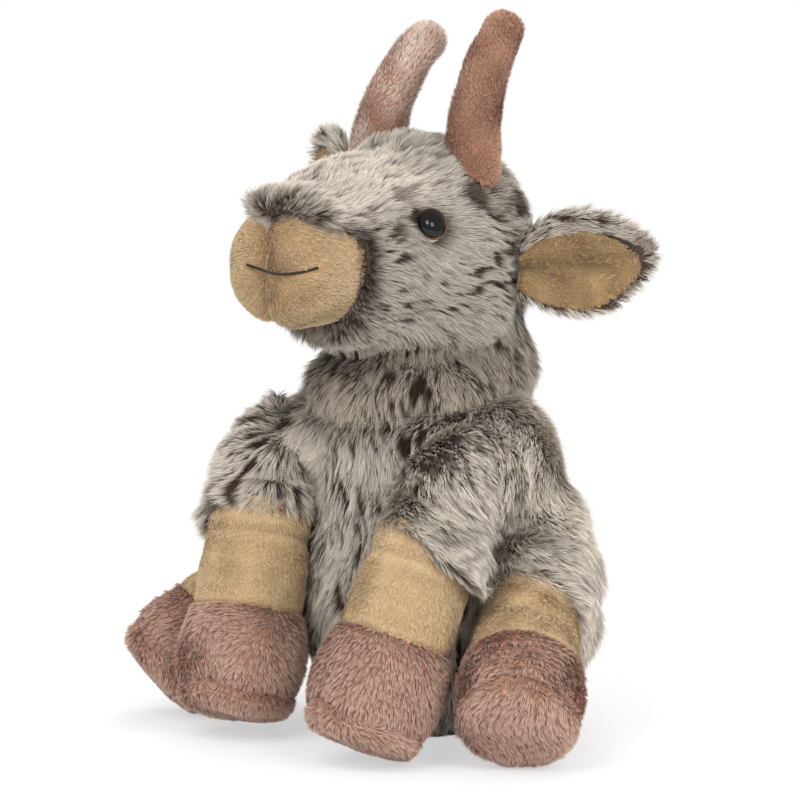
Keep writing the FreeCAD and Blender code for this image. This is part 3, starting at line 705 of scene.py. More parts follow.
def plant_pile(name, skin, place, kind, body, seed, comb=None, keep=None, shade=None, skip=None, thin=None,
               pale=None, plain=None, lift=None, facing=None, flow=None):
    """Plants blades of one kind of pile on a skin.

    The functions get places in the piece's own frame. comb gives the brushing direction there; without it
    the pile lies along Z. keep says where pile grows, and shade how far the blades are darkened towards
    their
    root colour: undercolour where the pile parts, and in some places painted shade (0 to 1, and over 1 the
    tips are dark too). thin shortens the blades, lift raises them by some degrees, pale scales their
    brightness, in some places as painted light and shade, and plain is the share of the dark dashes that is
    left out. The dashes run along Z of flow, which is a frame like place, or place itself. With facing, pile
    grows only where the skin faces that way. skip names the leg whose own cuff and hoof don't cut the pile
    off.
    """
    rng = np.random.default_rng(seed)
    root, normal = scatter(skin, kind["per_mm2"], rng)
    local = into(place, root)
    turn = np.array(place)[:3, :3]
    kept = np.ones(len(root), bool) if keep is None else keep(local)
    if facing is not None:
        kept &= normal @ turn @ np.array(facing) > FACING_LEAST
    root, normal, local = root[kept], normal[kept], local[kept]

    lay, cross = brushed_lay(root, normal, local, turn, kind, comb, seed, rng)
    length = kind["length"] * MM * rng.uniform(0.75, 1.15, len(root))
    if thin is not None:
        length *= thin(local)
    levels = np.linspace(0, 1, kind["joints"] + 1)
    spine = blade_spines(root, normal, local, lay, length, levels, kind, lift, seed)
    spine, tuft_tone = gather_tufts(spine, root, length, levels, kind, rng)

    dash = dark_dashes(spine, root, flow or place, kind, rng)
    if plain is not None:
        dash *= 1 - plain(local)[:, None]
    if shade is not None:
        cover = shade(local)[:, None]
        dash = np.clip(dash + cover * (1 - 0.85 * levels) + np.maximum(cover - 1, 0), 0, 1)
    spine += normal[:, None, :] * (-dash * kind["sink"] * MM * levels)[:, :, None]
    spine[:, :, 2] = np.maximum(spine[:, :, 2], FLOOR_CLEAR)
    clear = ~inside_leg(spine[:, -1], LEG_CLEAR, skip) & ~inside_leg(spine[:, 1], LEG_CLEAR, skip)
    spine, cross, dash = spine[clear], cross[clear], dash[clear]
    tuft_tone, normal, local = tuft_tone[clear], normal[clear], local[clear]

    count = len(spine)
    roll = np.radians(rng.normal(0, kind["roll"], count))[:, None]
    flat_side = cross * np.cos(roll) + normal * np.sin(roll)
    widths = kind["width"] * MM * (1 - BLADE_TAPER * levels[:-1] ** 1.5)
    half = flat_side[:, None, :] * widths[None, :, None] / 2
    left, right = spine[:, :-1] - half, spine[:, :-1] + half
    points = np.concatenate([np.stack([left, right], axis=2).reshape(count, -1, 3), spine[:, -1:]], axis=1)
    colour = blade_colours(spine, local, dash, levels, tuft_tone, kind, pale, seed, rng)
    return blades_mesh(name, points, colour, kind, body)


# %% [markdown]
# ## The kinds of pile
# Sizes are in millimetres, and angles in degrees. A blade of frosted fur is 5 to 8 mm long, and leans from
# about 50 degrees off the cloth near its root to about 25 near its tip. Tan velboa is about 1.7 mm,
# brushed in fine ribs about 1 mm apart. Brown velboa is about 2.7 mm and swirls freely.

# %% Kinds of pile
FUR = dict(
    material=fur_pile, slot="frosted_fur", per_mm2=6.8, length=6.8, width=0.29, joints=2,
    lean=(60, 14), wander=15, wander_size=12, jitter=10, roll=26,
    tuft=1.4, gather=0.32, tuft_tone=0.07, dash=(4.0, 0.9, 0.32), dash_depth=1.0, sink=0.8,
    root_colour="#3d2d25", mid_colour="#bdb3a5", tip_colour="#e0d8cc",
    frost=0.5, tone=0.10, cloud=0.05, cloud_size=18, rib=0, rib_tone=0)
# The neck's fur is the same cloth as the trunk's, drawn darker as painted shade under the head.
SHADED_NECK_PILE = dict(FUR, dash=(4.0, 0.85, 0.32),
                root_colour="#35281f", mid_colour="#a49889", tip_colour="#c6bbab")
HEAD_FUR = dict(FUR, dash=(3.8, 0.85, 0.32), mid_colour="#a49b8f", tip_colour="#c4bcb1")
TAN = dict(
    material=velboa_pile, slot="tan_velboa", per_mm2=8, length=1.7, width=0.42, joints=1,
    lean=(34, 22), wander=18, wander_size=8, jitter=14, roll=26,
    tuft=0, gather=0, tuft_tone=0, dash=None, dash_depth=0, sink=0,
    root_colour="#b28e60", mid_colour="#c4a981", tip_colour="#d3bf9c",
    frost=0.5, tone=0.08, cloud=0.04, cloud_size=9, rib=1.1, rib_tone=0.10)
BROWN = dict(
    material=velboa_pile, slot="brown_velboa", per_mm2=6.5, length=2.7, width=0.42, joints=1,
    lean=(38, 24), wander=42, wander_size=12, jitter=12, roll=30,
    tuft=1.2, gather=0.4, tuft_tone=0.08, dash=None, dash_depth=0.8, sink=0,
    root_colour="#85573f", mid_colour="#be9986", tip_colour="#d4b5a5",
    frost=0.5, tone=0.08, cloud=0.04, cloud_size=10, rib=0, rib_tone=0)
for kind_name, kind in (("frosted fur", FUR), ("tan velboa", TAN), ("brown velboa", BROWN)):
    print(f"{kind_name}: {kind['length']} mm long, {kind['per_mm2']} blades on a square millimetre")

# %% [markdown]
# ## Trunk
# The trunk is a pear, and its fur runs on over the roots of the legs without a step. So the CAD trunk is
# joined with a few balls at each shoulder and hip, the whole is remeshed with voxels of 2.5 mm, which
# leaves one closed skin, and smoothed until the balls run into the trunk. The pile itself comes after the
# legs.

# %% A skin over CAD nodes


def skin_over(name, nodes, voxel, backing, smooth=4, swell=0.0, extra=()):
    """One smooth skin round some CAD nodes and extra objects, inside their outline by a swell below 0."""
    bpy.ops.object.select_all(action="DESELECT")
    copies = list(extra)
    for node in nodes:
        copy = bpy.data.objects.new(name, frame["nodes"][node].data.copy())
        bpy.context.scene.collection.objects.link(copy)
        copies.append(copy)
    for copy in copies:
        copy.select_set(True)
    bpy.context.view_layer.objects.active = copies[0]
    if len(copies) > 1:
        bpy.ops.object.join()
    skin = bpy.context.view_layer.objects.active
    skin.name = skin.data.name = name
    apply_modifier(skin, "REMESH", mode="VOXEL", voxel_size=voxel * MM)
    apply_modifier(skin, "SMOOTH", factor=0.5, iterations=smooth)
    if swell:
        apply_modifier(skin, "DISPLACE", strength=swell * MM, mid_level=0.0)
    for face in skin.data.polygons:
        face.use_smooth = True
    skin.data.materials.clear()
    skin.data.materials.append(backing)
    return skin


def ball(centre, radius):
    """A round filler for a skin."""
    bpy.ops.object.select_all(action="DESELECT")
    bpy.ops.mesh.primitive_ico_sphere_add(subdivisions=4, radius=radius, location=centre)
    bpy.ops.object.transform_apply(location=True)
    return bpy.context.object


# %% Trunk
neck_foot = pivot("neck_turn")
# Each ball: its place as a share of the way from the neck's foot to the leg's pivot, then mm outwards, back
# and up from there, and how many mm bigger it is than the root of the leg.
LEG_BALLS = {
    "front": ((1, (-3, 2, -2), -5), (0.58, (0, 0, -0.5), -4), (0.40, (0, 0, 2.5), -6),
              (1, (-4, 15, -3), -0.5), (1, (-12, 29, -1), 6)),
    "hind": ((1, (-2, 2, 0), -1), (1, (-5, 9, -7), 0), (1, (-10, 8, 8), -0.5), (1, (-8, 15, -22), -2)),
}
fillers = []
for (side, end), place in leg_places.items():
    root = place.translation
    size = -outline_of(f"{side}_{end}_sleeve", place)[0].min()
    for share, (outwards, back, up), bigger in LEG_BALLS[end]:
        start = root if share == 1 else neck_foot + (root - neck_foot) * share
        centre = start + Vector((outwards * MM * SIDES[side], back * MM, up * MM))
        fillers.append(ball(centre, size + bigger * MM))
print(len(fillers), "balls at the roots of the legs")
trunk = skin_over("trunk_pelt", ["body_skin", "body_stuffing"], 2.5, fur_backing, smooth=14, swell=-0.6,
                  extra=fillers)
low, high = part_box("body_skin")
wrinkle(trunk, 1.6, 22, 1)
SEAT_LIFT = 0.5 * MM
trunk_points = points_of(trunk)
trunk_points[:, 2] = np.maximum(trunk_points[:, 2], SEAT_LIFT)
trunk.data.vertices.foreach_set("co", trunk_points.astype(np.float32).ravel())
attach(trunk, "body")
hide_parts("body_skin", "body_stuffing")

trunk_place = Matrix.Rotation(math.pi, 4, "X")
trunk_place.translation = Vector((0, (low.y + high.y) / 2, 0))


def trunk_comb(local):
    """Downwards, and forwards and outwards over the shoulders."""
    lay = np.zeros_like(local)
    high_up = 1 - smooth_step(14 * MM, 34 * MM, neck_foot.z + local[:, 2])
    lay[:, 2] = 1 - 0.4 * high_up
    lay[:, 0] = 0.5 * high_up * np.clip(local[:, 0] / (30 * MM), -1, 1)
    lay[:, 1] = 0.7 * high_up
    return lay


trunk_tree = tree_of(trunk)

# %% [markdown]
# ## Seat
# A round panel of plain cloth closes the trunk below, and the toy sits on it. A bare disc would have a
# knife edge where the trunk's fur ends, so it is turned as a thin, closed disc with a rounded edge.

# %% Seat
low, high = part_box("base_panel")
seat_place = Matrix.Translation(((low.x + high.x) / 2, (low.y + high.y) / 2, 0))
radius, thick = (high.x - low.x) / 2, high.z
seat = turned_skin("seat_cloth", [(thick, radius * 0.2), (thick, radius * 0.98), (thick * 0.6, radius),
                                  (thick * 0.15, radius * 0.985), (0, radius * 0.95), (0, radius * 0.2)],
                   seat_place, fur_backing)
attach(seat, "body")
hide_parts("base_panel")
print("seat:", round(2 * radius / MM, 1), "mm across,", round(thick / MM, 1), "mm thick")

# %% [markdown]
# ## Neck
# The neck is a tube between two seams. A plain cylinder would look like a pipe, so it is turned from rings
# that swell between the seams and run in under the head, and its back is then pulled out and up into a
# fuller nape. Its pile hangs over the neck seam of the trunk.

# %% Neck
heights, radii = outline_of("neck_skin", neck_place)
foot = heights.min()
NECK_SHOWN = 24 * MM
NAPE_RISE = 0.45
neck_radius = radii.max()
neck_rings = [(foot - 1.5 * MM, neck_radius - 6 * MM), (foot, neck_radius - 1 * MM)]
for step in range(1, 13):
    share = step / 12
    taper = 7 * MM * float(smooth_step(0.3, 0.85, share))
    neck_rings.append((foot + NECK_SHOWN * share, neck_radius + 1 * MM * math.sin(math.pi * share) - taper))
neck_rings.append((foot + NECK_SHOWN + 3 * MM, neck_radius - 14 * MM))
neck = turned_skin("neck_pelt", neck_rings, neck_place, fur_backing)


def nape_share(local):
    """1 at the back of the neck and 0 at its front."""
    return smooth_step(-0.1, 0.6, local[:, 1] / np.maximum(np.hypot(local[:, 0], local[:, 1]), 1e-9))


def swell_back(local):
    """A fuller nape, which reaches up behind the ears."""
    nape = nape_share(local)
    share = smooth_step(0, 1, local[:, 1] / neck_radius)
    share *= smooth_step(foot - 6 * MM, foot + 10 * MM, local[:, 2])
    upper = smooth_step(foot + 8 * MM, foot + 22 * MM, local[:, 2])
    local[:, :2] *= (1 + 0.20 * share + 0.22 * nape * upper)[:, None]
    local[:, 2] = foot + (local[:, 2] - foot) * (1 + NAPE_RISE * nape)
    return local


reshape(neck, neck_place, swell_back)
wrinkle(neck, 1.4, 16, 2)
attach(neck, "neck")
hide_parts("neck_skin", "neck_stuffing")


def down(local):
    """Straight down the neck."""
    return np.tile((0.0, 0.0, -1.0), (len(local), 1))


def jaw_painted_shade(local):
    """Painted shade in front, under the jaw, drawn as dark undercolour at the roots."""
    return 0.6 * smooth_step(foot + 6 * MM, foot + 18 * MM, local[:, 2]) * (1 - nape_share(local))


plant_pile("neck_pile", neck, neck_place, SHADED_NECK_PILE, "neck", 21, comb=down, shade=jaw_painted_shade,
           keep=lambda local: (local[:, 2] > foot + 0.5 * MM)
           & (local[:, 2] < foot + NECK_SHOWN * (1 + NAPE_RISE * nape_share(local))))

# %% [markdown]
# ## Head
# The head is a ball that runs into a blunt face. Its fur panel reaches forward over the top of the muzzle
# as a bridge, so the front rim of the skin isn't level: each ring is pulled forward near the crown. The
# cheeks are stuffed full at the jaw and behind the horns, and hang a little. The pile is brushed from the
# nose to the back. At the rim it is caught in the seam and stands up, and there its dark roots show, as
# they do at the horns' feet, on the brows and in the eye corners.

# %% Head
skull_radius = -into(head_place, points_of(frame["nodes"]["head_skin"]))[:, 2].min()
heights, radii = outline_of("head_skin", head_place)
face_front = heights.max()
muzzle_heights, muzzle_radii = outline_of("muzzle_stuffing", head_place)
muzzle_front, muzzle_radius = muzzle_heights.max() + 1.4 * MM, muzzle_radii.max() + 1.4 * MM
SKIN_INSET = 2.3 * MM
MUZZLE_CORNER = 10 * MM
side_radius, front = muzzle_radius - SKIN_INSET, muzzle_front - SKIN_INSET


def muzzle_reach(height):
    """The muzzle's radius at a height: a drum with a round front edge."""
    past = np.clip((height - front + MUZZLE_CORNER) / MUZZLE_CORNER, 0, 1)
    return side_radius - MUZZLE_CORNER * (1 - np.sqrt(1 - past ** 2))


PELT_INSET = 2.6 * MM
BRIDGE_REACH = 17 * MM
BRIDGE_DIP = 6 * MM
JOWL_DROP = 7 * MM
# Fuller places behind the horns and at the jaw: their direction across, up and ahead, how much the head
# grows there, and the cosine of the angle within which it grows in full.
HEAD_KNOBS = (((0.69, 0.44, -0.575), 0.075, 0.97), ((0.18, -0.90, 0.34), 0.12, 0.98))


def face_radius(height):
    """The head's outer radius: a ball behind, a straight taper in front."""
    taper = math.atan2(skull_radius - radii[-1], face_front)
    if height < skull_radius * math.sin(taper):
        return math.sqrt(max(skull_radius ** 2 - height ** 2, 1e-8))
    return float(np.interp(height, (skull_radius * math.sin(taper), face_front),
                           (skull_radius * math.cos(taper), radii[heights > face_front - 1 * MM].max())))


head_rings = []
BACK_RINGS, FACE_RINGS = 18, 22
for step in range(BACK_RINGS + FACE_RINGS + 1):
    angle = math.pi / 2 * min(step / BACK_RINGS, 1)
    height = -skull_radius * math.cos(angle) if step < BACK_RINGS else (
        face_front * (step - BACK_RINGS) / FACE_RINGS)
    head_rings.append((height, max(face_radius(height) - PELT_INSET, 0.5 * MM)))
head_rings.append((face_front + 0.6 * MM, head_rings[-1][1] - 1.6 * MM))
head_rings.append((face_front - 1 * MM, head_rings[-1][1] - 5 * MM))
head = turned_skin("head_pelt", head_rings, head_place, fur_backing, sides=120)


def bridge_share(local):
    """1 over the top of the muzzle and 0 at its sides and below."""
    angle = np.abs(np.arctan2(local[:, 0], local[:, 1]))
    return 1 - smooth_step(math.radians(36), math.radians(60), angle)


def bridge_front(local):
    """How far forward the fur reaches: furthest in the middle, between the muzzle's halves."""
    dip = BRIDGE_DIP * np.exp(-(local[:, 0] / (7 * MM)) ** 2)
    return face_front + (BRIDGE_REACH + dip) * bridge_share(local)


def pull_bridge(local):
    """Pulls the rim forward over the muzzle, and lifts the brow, the crown and the rim's edge."""
    share = bridge_share(local)
    pulled = smooth_step(face_front * 0.35, face_front, local[:, 2])
    local[:, 2] += (bridge_front(local) - face_front) * pulled
    over = smooth_step(face_front - 2 * MM, face_front + 8 * MM, local[:, 2]) * share
    radius = np.hypot(local[:, 0], local[:, 1])
    rim = muzzle_reach(local[:, 2]) + 1.4 * MM
    grown = np.where(radius > muzzle_radius * 0.8, radius + (rim - radius) * over, radius)
    local[:, :2] *= (grown / np.maximum(radius, 1e-9))[:, None]
    local[:, 1] += 2.5 * MM * share * np.exp(-((local[:, 2] - face_front * 0.75) / (14 * MM)) ** 2)
    local[:, 1] += 1.5 * MM * share * np.exp(-(local[:, 2] / (16 * MM)) ** 2)
    local[:, 1] += 2.5 * MM * share * smooth_step(face_front, face_front + 12 * MM, local[:, 2])
    return local


def fill_cheeks(local):
    """Fills out both cheeks behind the horns and at the jaw."""
    for side in SIDES.values():
        for (across, up, ahead), growth, inner in HEAD_KNOBS:
            knob = unit(np.array([[across * side, up, ahead]]))[0]
            close = (local / np.linalg.norm(local, axis=1, keepdims=True)) @ knob
            local *= (1 + growth * smooth_step(0.80, inner, close))[:, None]
    return local


def drop_jowls(local):
    """Widens and lowers the cheeks' undersides, where the filling sinks, and lowers the chin."""
    depth = np.clip(-local[:, 1] / (skull_radius - PELT_INSET), 0, 0.96)
    jowl = 1 - smooth_step(4 * MM, 26 * MM, local[:, 2])
    full = (1 - depth ** 3.5) ** (1 / 3.5) / np.sqrt(1 - depth ** 2)
    local[:, 0] *= 1 + (np.minimum(full, 1.22) - 1) * jowl
    behind = smooth_step(2 * MM, 24 * MM, -local[:, 2])
    local[:, 1] -= JOWL_DROP * depth ** 2 * jowl * (1 - 1.3 * behind)
    below = smooth_step(0, 1, -local[:, 1] / muzzle_radius)
    local[:, 1] -= 2.5 * MM * below * smooth_step(face_front - 16 * MM, face_front - 4 * MM, local[:, 2])
    return local


reshape(head, head_place, lambda local: drop_jowls(fill_cheeks(pull_bridge(local))))
wrinkle(head, 1.6, 18, 3)
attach(head, "head")
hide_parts("head_skin", "head_stuffing")


# %% Fur of the head
def swept_back(local):
    """From the nose to the back of the head, slightly down on the cheeks, and down behind."""
    lay = 0.35 * local / np.maximum(np.hypot(local[:, 0], local[:, 1]), 8 * MM)[:, None]
    lay[:, 2] = -1.0
    lay[:, 1] -= 0.35 * (1 - bridge_share(local)) + 1.6 * smooth_step(14 * MM, 30 * MM, -local[:, 2])
    return lay


HORN_FOOT_DARK, LID_DARK = (9.5 * MM, 13.5 * MM), (6.5 * MM, 8.5 * MM)
CORNER_DARK, BROW_DARK = (2.2 * MM, 4.4 * MM), (3 * MM, 7 * MM)
EYE_HOLE = 5.6 * MM


def distance_to(local, spot):
    """How far places of the head's own frame are from a spot in the world."""
    return np.linalg.norm(out_of(head_place, local) - np.array(spot), axis=1)


def head_shade(local):
    """Undercolour round the front rim, at the horns' feet, on the brows and in the eye corners."""
    rim = bridge_front(local)
    chin = smooth_step(0.35, 0.75, -local[:, 1] / np.maximum(np.hypot(local[:, 0], local[:, 1]), 1 * MM))
    bridge = bridge_share(local)
    near = smooth_step(-9 * MM, -2 * MM, local[:, 0])
    band = (3.2 + 2.2 * bridge * near) * MM
    share = 1.3 - 0.35 * bridge - 0.55 * bridge * (1 - near) - 1.05 * chin
    shade = smooth_step(rim - band, rim, local[:, 2]) * share
    for side in SIDES:
        spots = [(horn_feet[side], HORN_FOOT_DARK, 0.8), (middle(f"{side}_eye_pupil"), LID_DARK, 0.6),
                 (eye_corners[side], CORNER_DARK, 1.9)]
        spots += [(brow, BROW_DARK, 1.6) for brow in brows[side]]
        for spot, radii, depth in spots:
            shade = np.maximum(shade, depth * (1 - smooth_step(*radii, distance_to(local, spot))))
    return shade


def head_plain(local):
    """Fewer dashes on the bridge and near the eyes."""
    plain = 0.45 * bridge_share(local) * smooth_step(-15 * MM, 5 * MM, local[:, 2])
    for side in SIDES:
        distance = distance_to(local, middle(f"{side}_eye_pupil"))
        plain = np.maximum(plain, 0.9 * (1 - smooth_step(10 * MM, 15 * MM, distance)))
    return plain


def head_grows(local):
    """No pile grows under an eye, past the rim, or where the muzzle closes the front."""
    grows = local[:, 2] < bridge_front(local) + 1.5 * MM
    grows &= (np.hypot(local[:, 0], local[:, 1]) > 3 * MM) | (local[:, 2] < 0)
    for side in SIDES:
        grows &= distance_to(local, middle(f"{side}_eye_pupil")) > EYE_HOLE
    return grows


def on_head(local):
    """The place on the head's skin that is nearest to a place of the head's own frame."""
    return np.array(head_tree.find_nearest(Vector(out_of(head_place, np.array([local]))[0]))[0])


horn_feet = {}
eye_corners = {}
brows = {}
head_tree = tree_of(head)
for side in SIDES:
    eye = into(head_place, np.array([middle(f"{side}_eye_pupil")]))[0]
    eye_corners[side] = on_head(eye + (0, 4.2 * MM, 7.4 * MM))
    low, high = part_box(f"{side}_horn")
    root = [p for p in points_of(frame["nodes"][f"{side}_horn"]) if p[2] < low.z + 6 * MM]
    horn_feet[side] = Vector(np.mean(root, axis=0))
    foot = into(head_place, np.array([horn_feet[side]]))[0]
    brows[side] = [on_head(foot + (3 * MM * SIDES[side], -2 * MM, 11 * MM)),
                   on_head(foot + (6 * MM * SIDES[side], -4 * MM, -9 * MM))]

for part, facing in {"left": 1, "right": -1}.items():
    plant_pile(f"head_pile_{part}", head, head_place, HEAD_FUR, "head", 31 + facing, comb=swept_back,
               keep=lambda local, facing=facing: (local[:, 0] * facing >= 0) & head_grows(local),
               shade=head_shade,
               thin=lambda local: 0.9 - 0.15 * smooth_step(face_front - 30 * MM, face_front, local[:, 2]),
               lift=lambda local: 14 * smooth_step(-9 * MM, -1 * MM, local[:, 2] - bridge_front(local)),
               plain=head_plain,
               pale=lambda local: 1 + 0.4 * bridge_share(local) * smooth_step(10 * MM, 28 * MM, local[:, 2]))

# %% [markdown]
# ## Muzzle and smile
# Two stuffed halves meet in a deep middle seam. Two half drums would leave a gap between them, so one drum
# is turned and pressed in along that seam, and the short pile lies outwards from it. The smile is thread:
# a curve with a round section, laid on the skin with rays cast at it from the front. No pile grows beside
# it, as a stitch holds the pile down.

# %% Muzzle
muzzle_rings = [(face_front - 4 * MM, 6 * MM)]
for height in np.linspace(face_front - 4 * MM, front - MUZZLE_CORNER, 9)[:-1]:
    muzzle_rings.append((height, side_radius))
for angle in np.linspace(0, math.pi / 2, 13):
    height = front - MUZZLE_CORNER * (1 - math.sin(angle))
    muzzle_rings.append((height, float(muzzle_reach(height))))
for step in range(1, 9):
    radius = (side_radius - MUZZLE_CORNER) * (1 - step / 8) + 0.05 * MM
    muzzle_rings.append((front + 0.001 * MM * step, radius))
muzzle = turned_skin("muzzle_velboa", muzzle_rings, head_place, muzzle_backing, sides=160)


SEAM_X = -2.5 * MM


def press_seam(local):
    """The middle seam, pressed in at the front and along the top and bottom."""
    dent = np.exp(-((local[:, 0] - SEAM_X) / (1.5 * MM)) ** 2)
    soft = np.exp(-((local[:, 0] - SEAM_X) / (5 * MM)) ** 2)
    forward = smooth_step(front - MUZZLE_CORNER, front, local[:, 2])
    radius = np.maximum(np.hypot(local[:, 0], local[:, 1]), 1e-9)
    inward = (1.5 * MM * dent + 1.6 * MM * soft) * (1 - forward * 0.6)
    local[:, 1] -= inward * local[:, 1] / radius
    local[:, 2] -= (2.2 * MM * dent + 2.2 * MM * soft) * forward
    return local


reshape(muzzle, head_place, press_seam)
wrinkle(muzzle, 1.2, 14, 4)
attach(muzzle, "head")
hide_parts("left_muzzle", "right_muzzle", "muzzle_stuffing")

# %% Smile
SMILE_POINTS = 21
SMILE_START, SMILE_END = -6.5 * MM, 17.5 * MM
THREAD_RADIUS = 0.42 * MM
smile = into(head_place, points_of(frame["nodes"]["mouth_thread"]))
smile = smile[smile[:, 2] > front - 8 * MM]
smile = smile[np.argsort(smile[:, 0])]
spots = np.linspace(SMILE_START, SMILE_END, SMILE_POINTS)
line = []
for spot in spots:
    near = smile[np.abs(smile[:, 0] - np.clip(spot, smile[0, 0] + MM, smile[-1, 0] - MM)) < 1.6 * MM]
    line.append((spot, near[:, 1].mean(), 0.0))
line = np.array(line)
muzzle_tree = BVHTree.FromPolygons([tuple(point) for point in into(head_place, points_of(muzzle))],
                                   [tuple(face.vertices) for face in muzzle.data.polygons])
for spot in line:
    hit = muzzle_tree.ray_cast(Vector((spot[0], spot[1], 2 * muzzle_front)), Vector((0, 0, -1)))
    spot[2] = hit[0].z
half_span = (SMILE_END - SMILE_START) / 2
across = (spots - SMILE_START) / half_span - 1
line[:, 1] = line[[0, -1], 1].mean() + 0.6 * MM + 0.7 * MM * across - 2.0 * MM * (1 - np.abs(across) ** 2.6)
for n in range(12):
    line[1:-1, 2] = (line[:-2, 2] + 2 * line[1:-1, 2] + line[2:, 2]) / 4
curve = bpy.data.curves.new("smile_thread", "CURVE")
curve.dimensions = "3D"
curve.bevel_depth = THREAD_RADIUS
curve.bevel_resolution = 3
spline = curve.splines.new("NURBS")
spline.points.add(len(line) - 1)
for point, (x, y, z) in zip(spline.points, line):
    point.co = (x, y, z + 1.0 * MM, 1)
spline.order_u = 3
spline.use_endpoint_u = True
smile_holder = bpy.data.objects.new("smile_thread", curve)
bpy.context.scene.collection.objects.link(smile_holder)
bpy.ops.object.select_all(action="DESELECT")
bpy.context.view_layer.objects.active = smile_holder
smile_holder.select_set(True)
bpy.ops.object.convert(target="MESH")
smile_thread = bpy.context.object
smile_thread.data.transform(head_place)
smile_thread.data.materials.clear()
smile_thread.data.materials.append(thread)
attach(smile_thread, "head")
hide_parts("mouth_thread")
print("smile thread:", round((SMILE_END - SMILE_START) / MM, 1), "mm across the face")


def off_smile(local):
    """Distance from the thread, in the plane of the face."""
    away = np.full(len(local), np.inf)
    for x, y, _ in line:
        away = np.minimum(away, np.hypot(local[:, 0] - x, local[:, 1] - y))
    return np.where(local[:, 2] > front - 9 * MM, away, 1.0)


def from_seam(local):
    """Brushed outwards from the middle seam, and back along the sides."""
    lay = np.zeros_like(local)
    lay[:, 0] = np.sign(local[:, 0] - SEAM_X)
    lay[:, 1] = -0.35
    lay[:, 2] = -0.4 - 1.0 * (1 - smooth_step(front - 6 * MM, front, local[:, 2]))
    return lay


MUZZLE_PILE = dict(TAN, wander=25, rib=0, tuft=0.9, gather=0.35, tuft_tone=0.07,
                   root_colour="#97774f", mid_colour="#b59b77", tip_colour="#c5b08f")
plant_pile("muzzle_pile", muzzle, head_place, MUZZLE_PILE, "head", 41, comb=from_seam,
           keep=lambda local: (off_smile(local) > 1.0 * MM) & (np.abs(local[:, 0] - SEAM_X) > 0.35 * MM)
           & (local[:, 2] > face_front - 2 * MM))

# %% [markdown]
# ## Eyes
# A safety eye is a polished black dome with an amber ring round it. Half a sphere would stand too proud, so
# the dome is turned from a flat ellipse, smoother than the CAD solid, and set a little forward in its
# ring.

# %% Eyes
for side in SIDES:
    eye_middle = middle(f"{side}_eye_iris")
    outward = (eye_middle - middle(f"{side}_eye_washer")).normalized()
    eye_place = frame_at(eye_middle, outward, UP)
    _, ring_radii = outline_of(f"{side}_eye_iris", eye_place)
    eye_radius = ring_radii.max()
    dome = eye_radius * 0.93
    black_rings = [(-0.6 * MM, 0.5 * MM), (-0.6 * MM, dome)]
    black_rings += [(eye_radius * 0.42 * math.sin(a) + 0.35 * MM, dome * math.cos(a))
                    for a in np.linspace(0.05, math.pi / 2 - 0.02, 16)]
    pupil = turned_skin(f"{side}_eye_black", black_rings, eye_place, black_plastic, sides=64)
    ring_rings = [(-0.8 * MM, dome * 0.9), (-0.8 * MM, eye_radius * 0.96)]
    inner = dome * 0.95
    ring_rings += [(-0.4 * MM + 1.1 * MM * math.sin(a), inner + (eye_radius - inner) * math.cos(a))
                   for a in np.linspace(0, math.pi / 2, 8)]
    ring = turned_skin(f"{side}_eye_amber", ring_rings, eye_place, amber_plastic, sides=64)
    forward = (head_place.col[2].to_3d() - outward * head_place.col[2].to_3d().dot(outward)).normalized()
    pupil.data.transform(Matrix.Translation(forward * 0.45 * MM + outward * 0.25 * MM))
    for made, node, slot in ((pupil, "pupil", "eye_black"), (ring, "iris", "eye_amber")):
        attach(made, "head")
        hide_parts(f"{side}_eye_{node}")
    print(side, "eye:", round(2 * eye_radius / MM, 1), "mm across")

# %% [markdown]
# ## Horns
# A horn is a bent, blunt cone of brown velboa. A turned form can't be bent, so its skin is the CAD horn and
# its filling in one: both meshes are joined and remeshed with a voxel of 1.2 mm, which leaves one outer
# skin, and smoothed. Both horns are the same cloth: the left one's pile is painted darker, as painted shade,
# and the right one's lighter, as painted light.

# %% Horns
# Root, middle and tip colours of each horn: one cloth, darker on the left as painted shade and lighter on
# the right as painted light.
HORN_LIT_AND_SHADED_COLOURS = {"left": ("#7f5239", "#a98168", "#bd9780"), "right": ("#b39280", "#dec9bc", "#efdfd3")}
for side in SIDES:
    horn = skin_over(f"{side}_horn_velboa", [f"{side}_horn", f"{side}_horn_stuffing"], 1.2, brown_backing,
                     smooth=5, swell=-0.5)
    wrinkle(horn, 0.9, 9, 5)
    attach(horn, "head")
    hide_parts(f"{side}_horn", f"{side}_horn_stuffing")
    low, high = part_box(f"{side}_horn")
    horn_foot = Vector(((low.x + high.x) / 2, (low.y + high.y) / 2, low.z))
    horn_place = frame_at(horn_foot, UP, Vector((1, 0, 0)))
    low_tone, mid_tone, high_tone = HORN_LIT_AND_SHADED_COLOURS[side]
    horn_pile = dict(BROWN, length=1.8, per_mm2=8.5, width=0.40, lean=(54, 40), tuft=0.9,
                     root_colour=low_tone, mid_colour=mid_tone, tip_colour=high_tone)
    plant_pile(f"{side}_horn_pile", horn, horn_place, horn_pile, "head", 51 + SIDES[side])

# %% [markdown]
# ## Legs
# Each leg is one stuffed tube of four panels in a row: fur sleeve, tan cuff, brown hoof and brown sole.
# Between two seams the cloth swells, and at a seam it is drawn in. The rings come from the CAD outline,
# with that swell added; the seams that a turned shape can't have, such as the dart in front of a hoof,
# are pressed in after. A sleeve is loose cloth, so its outer, rear side hangs lower over the cuff, and
# its pile is brushed one way all over: outwards, back and down.

# %% Rings between two seams


def swollen(outline, start, end, swell, inset, steps=12):
    """Rings that follow an outline between two heights, swollen between them and drawn in at both ends."""
    rings = []
    for step in range(steps + 1):
        share = step / steps
        height = start + (end - start) * share
        bulge = (1 - (2 * share - 1) ** 4) * swell * MM
        rings.append((height, float(np.interp(height, *outline)) + bulge - inset * MM))
    return rings


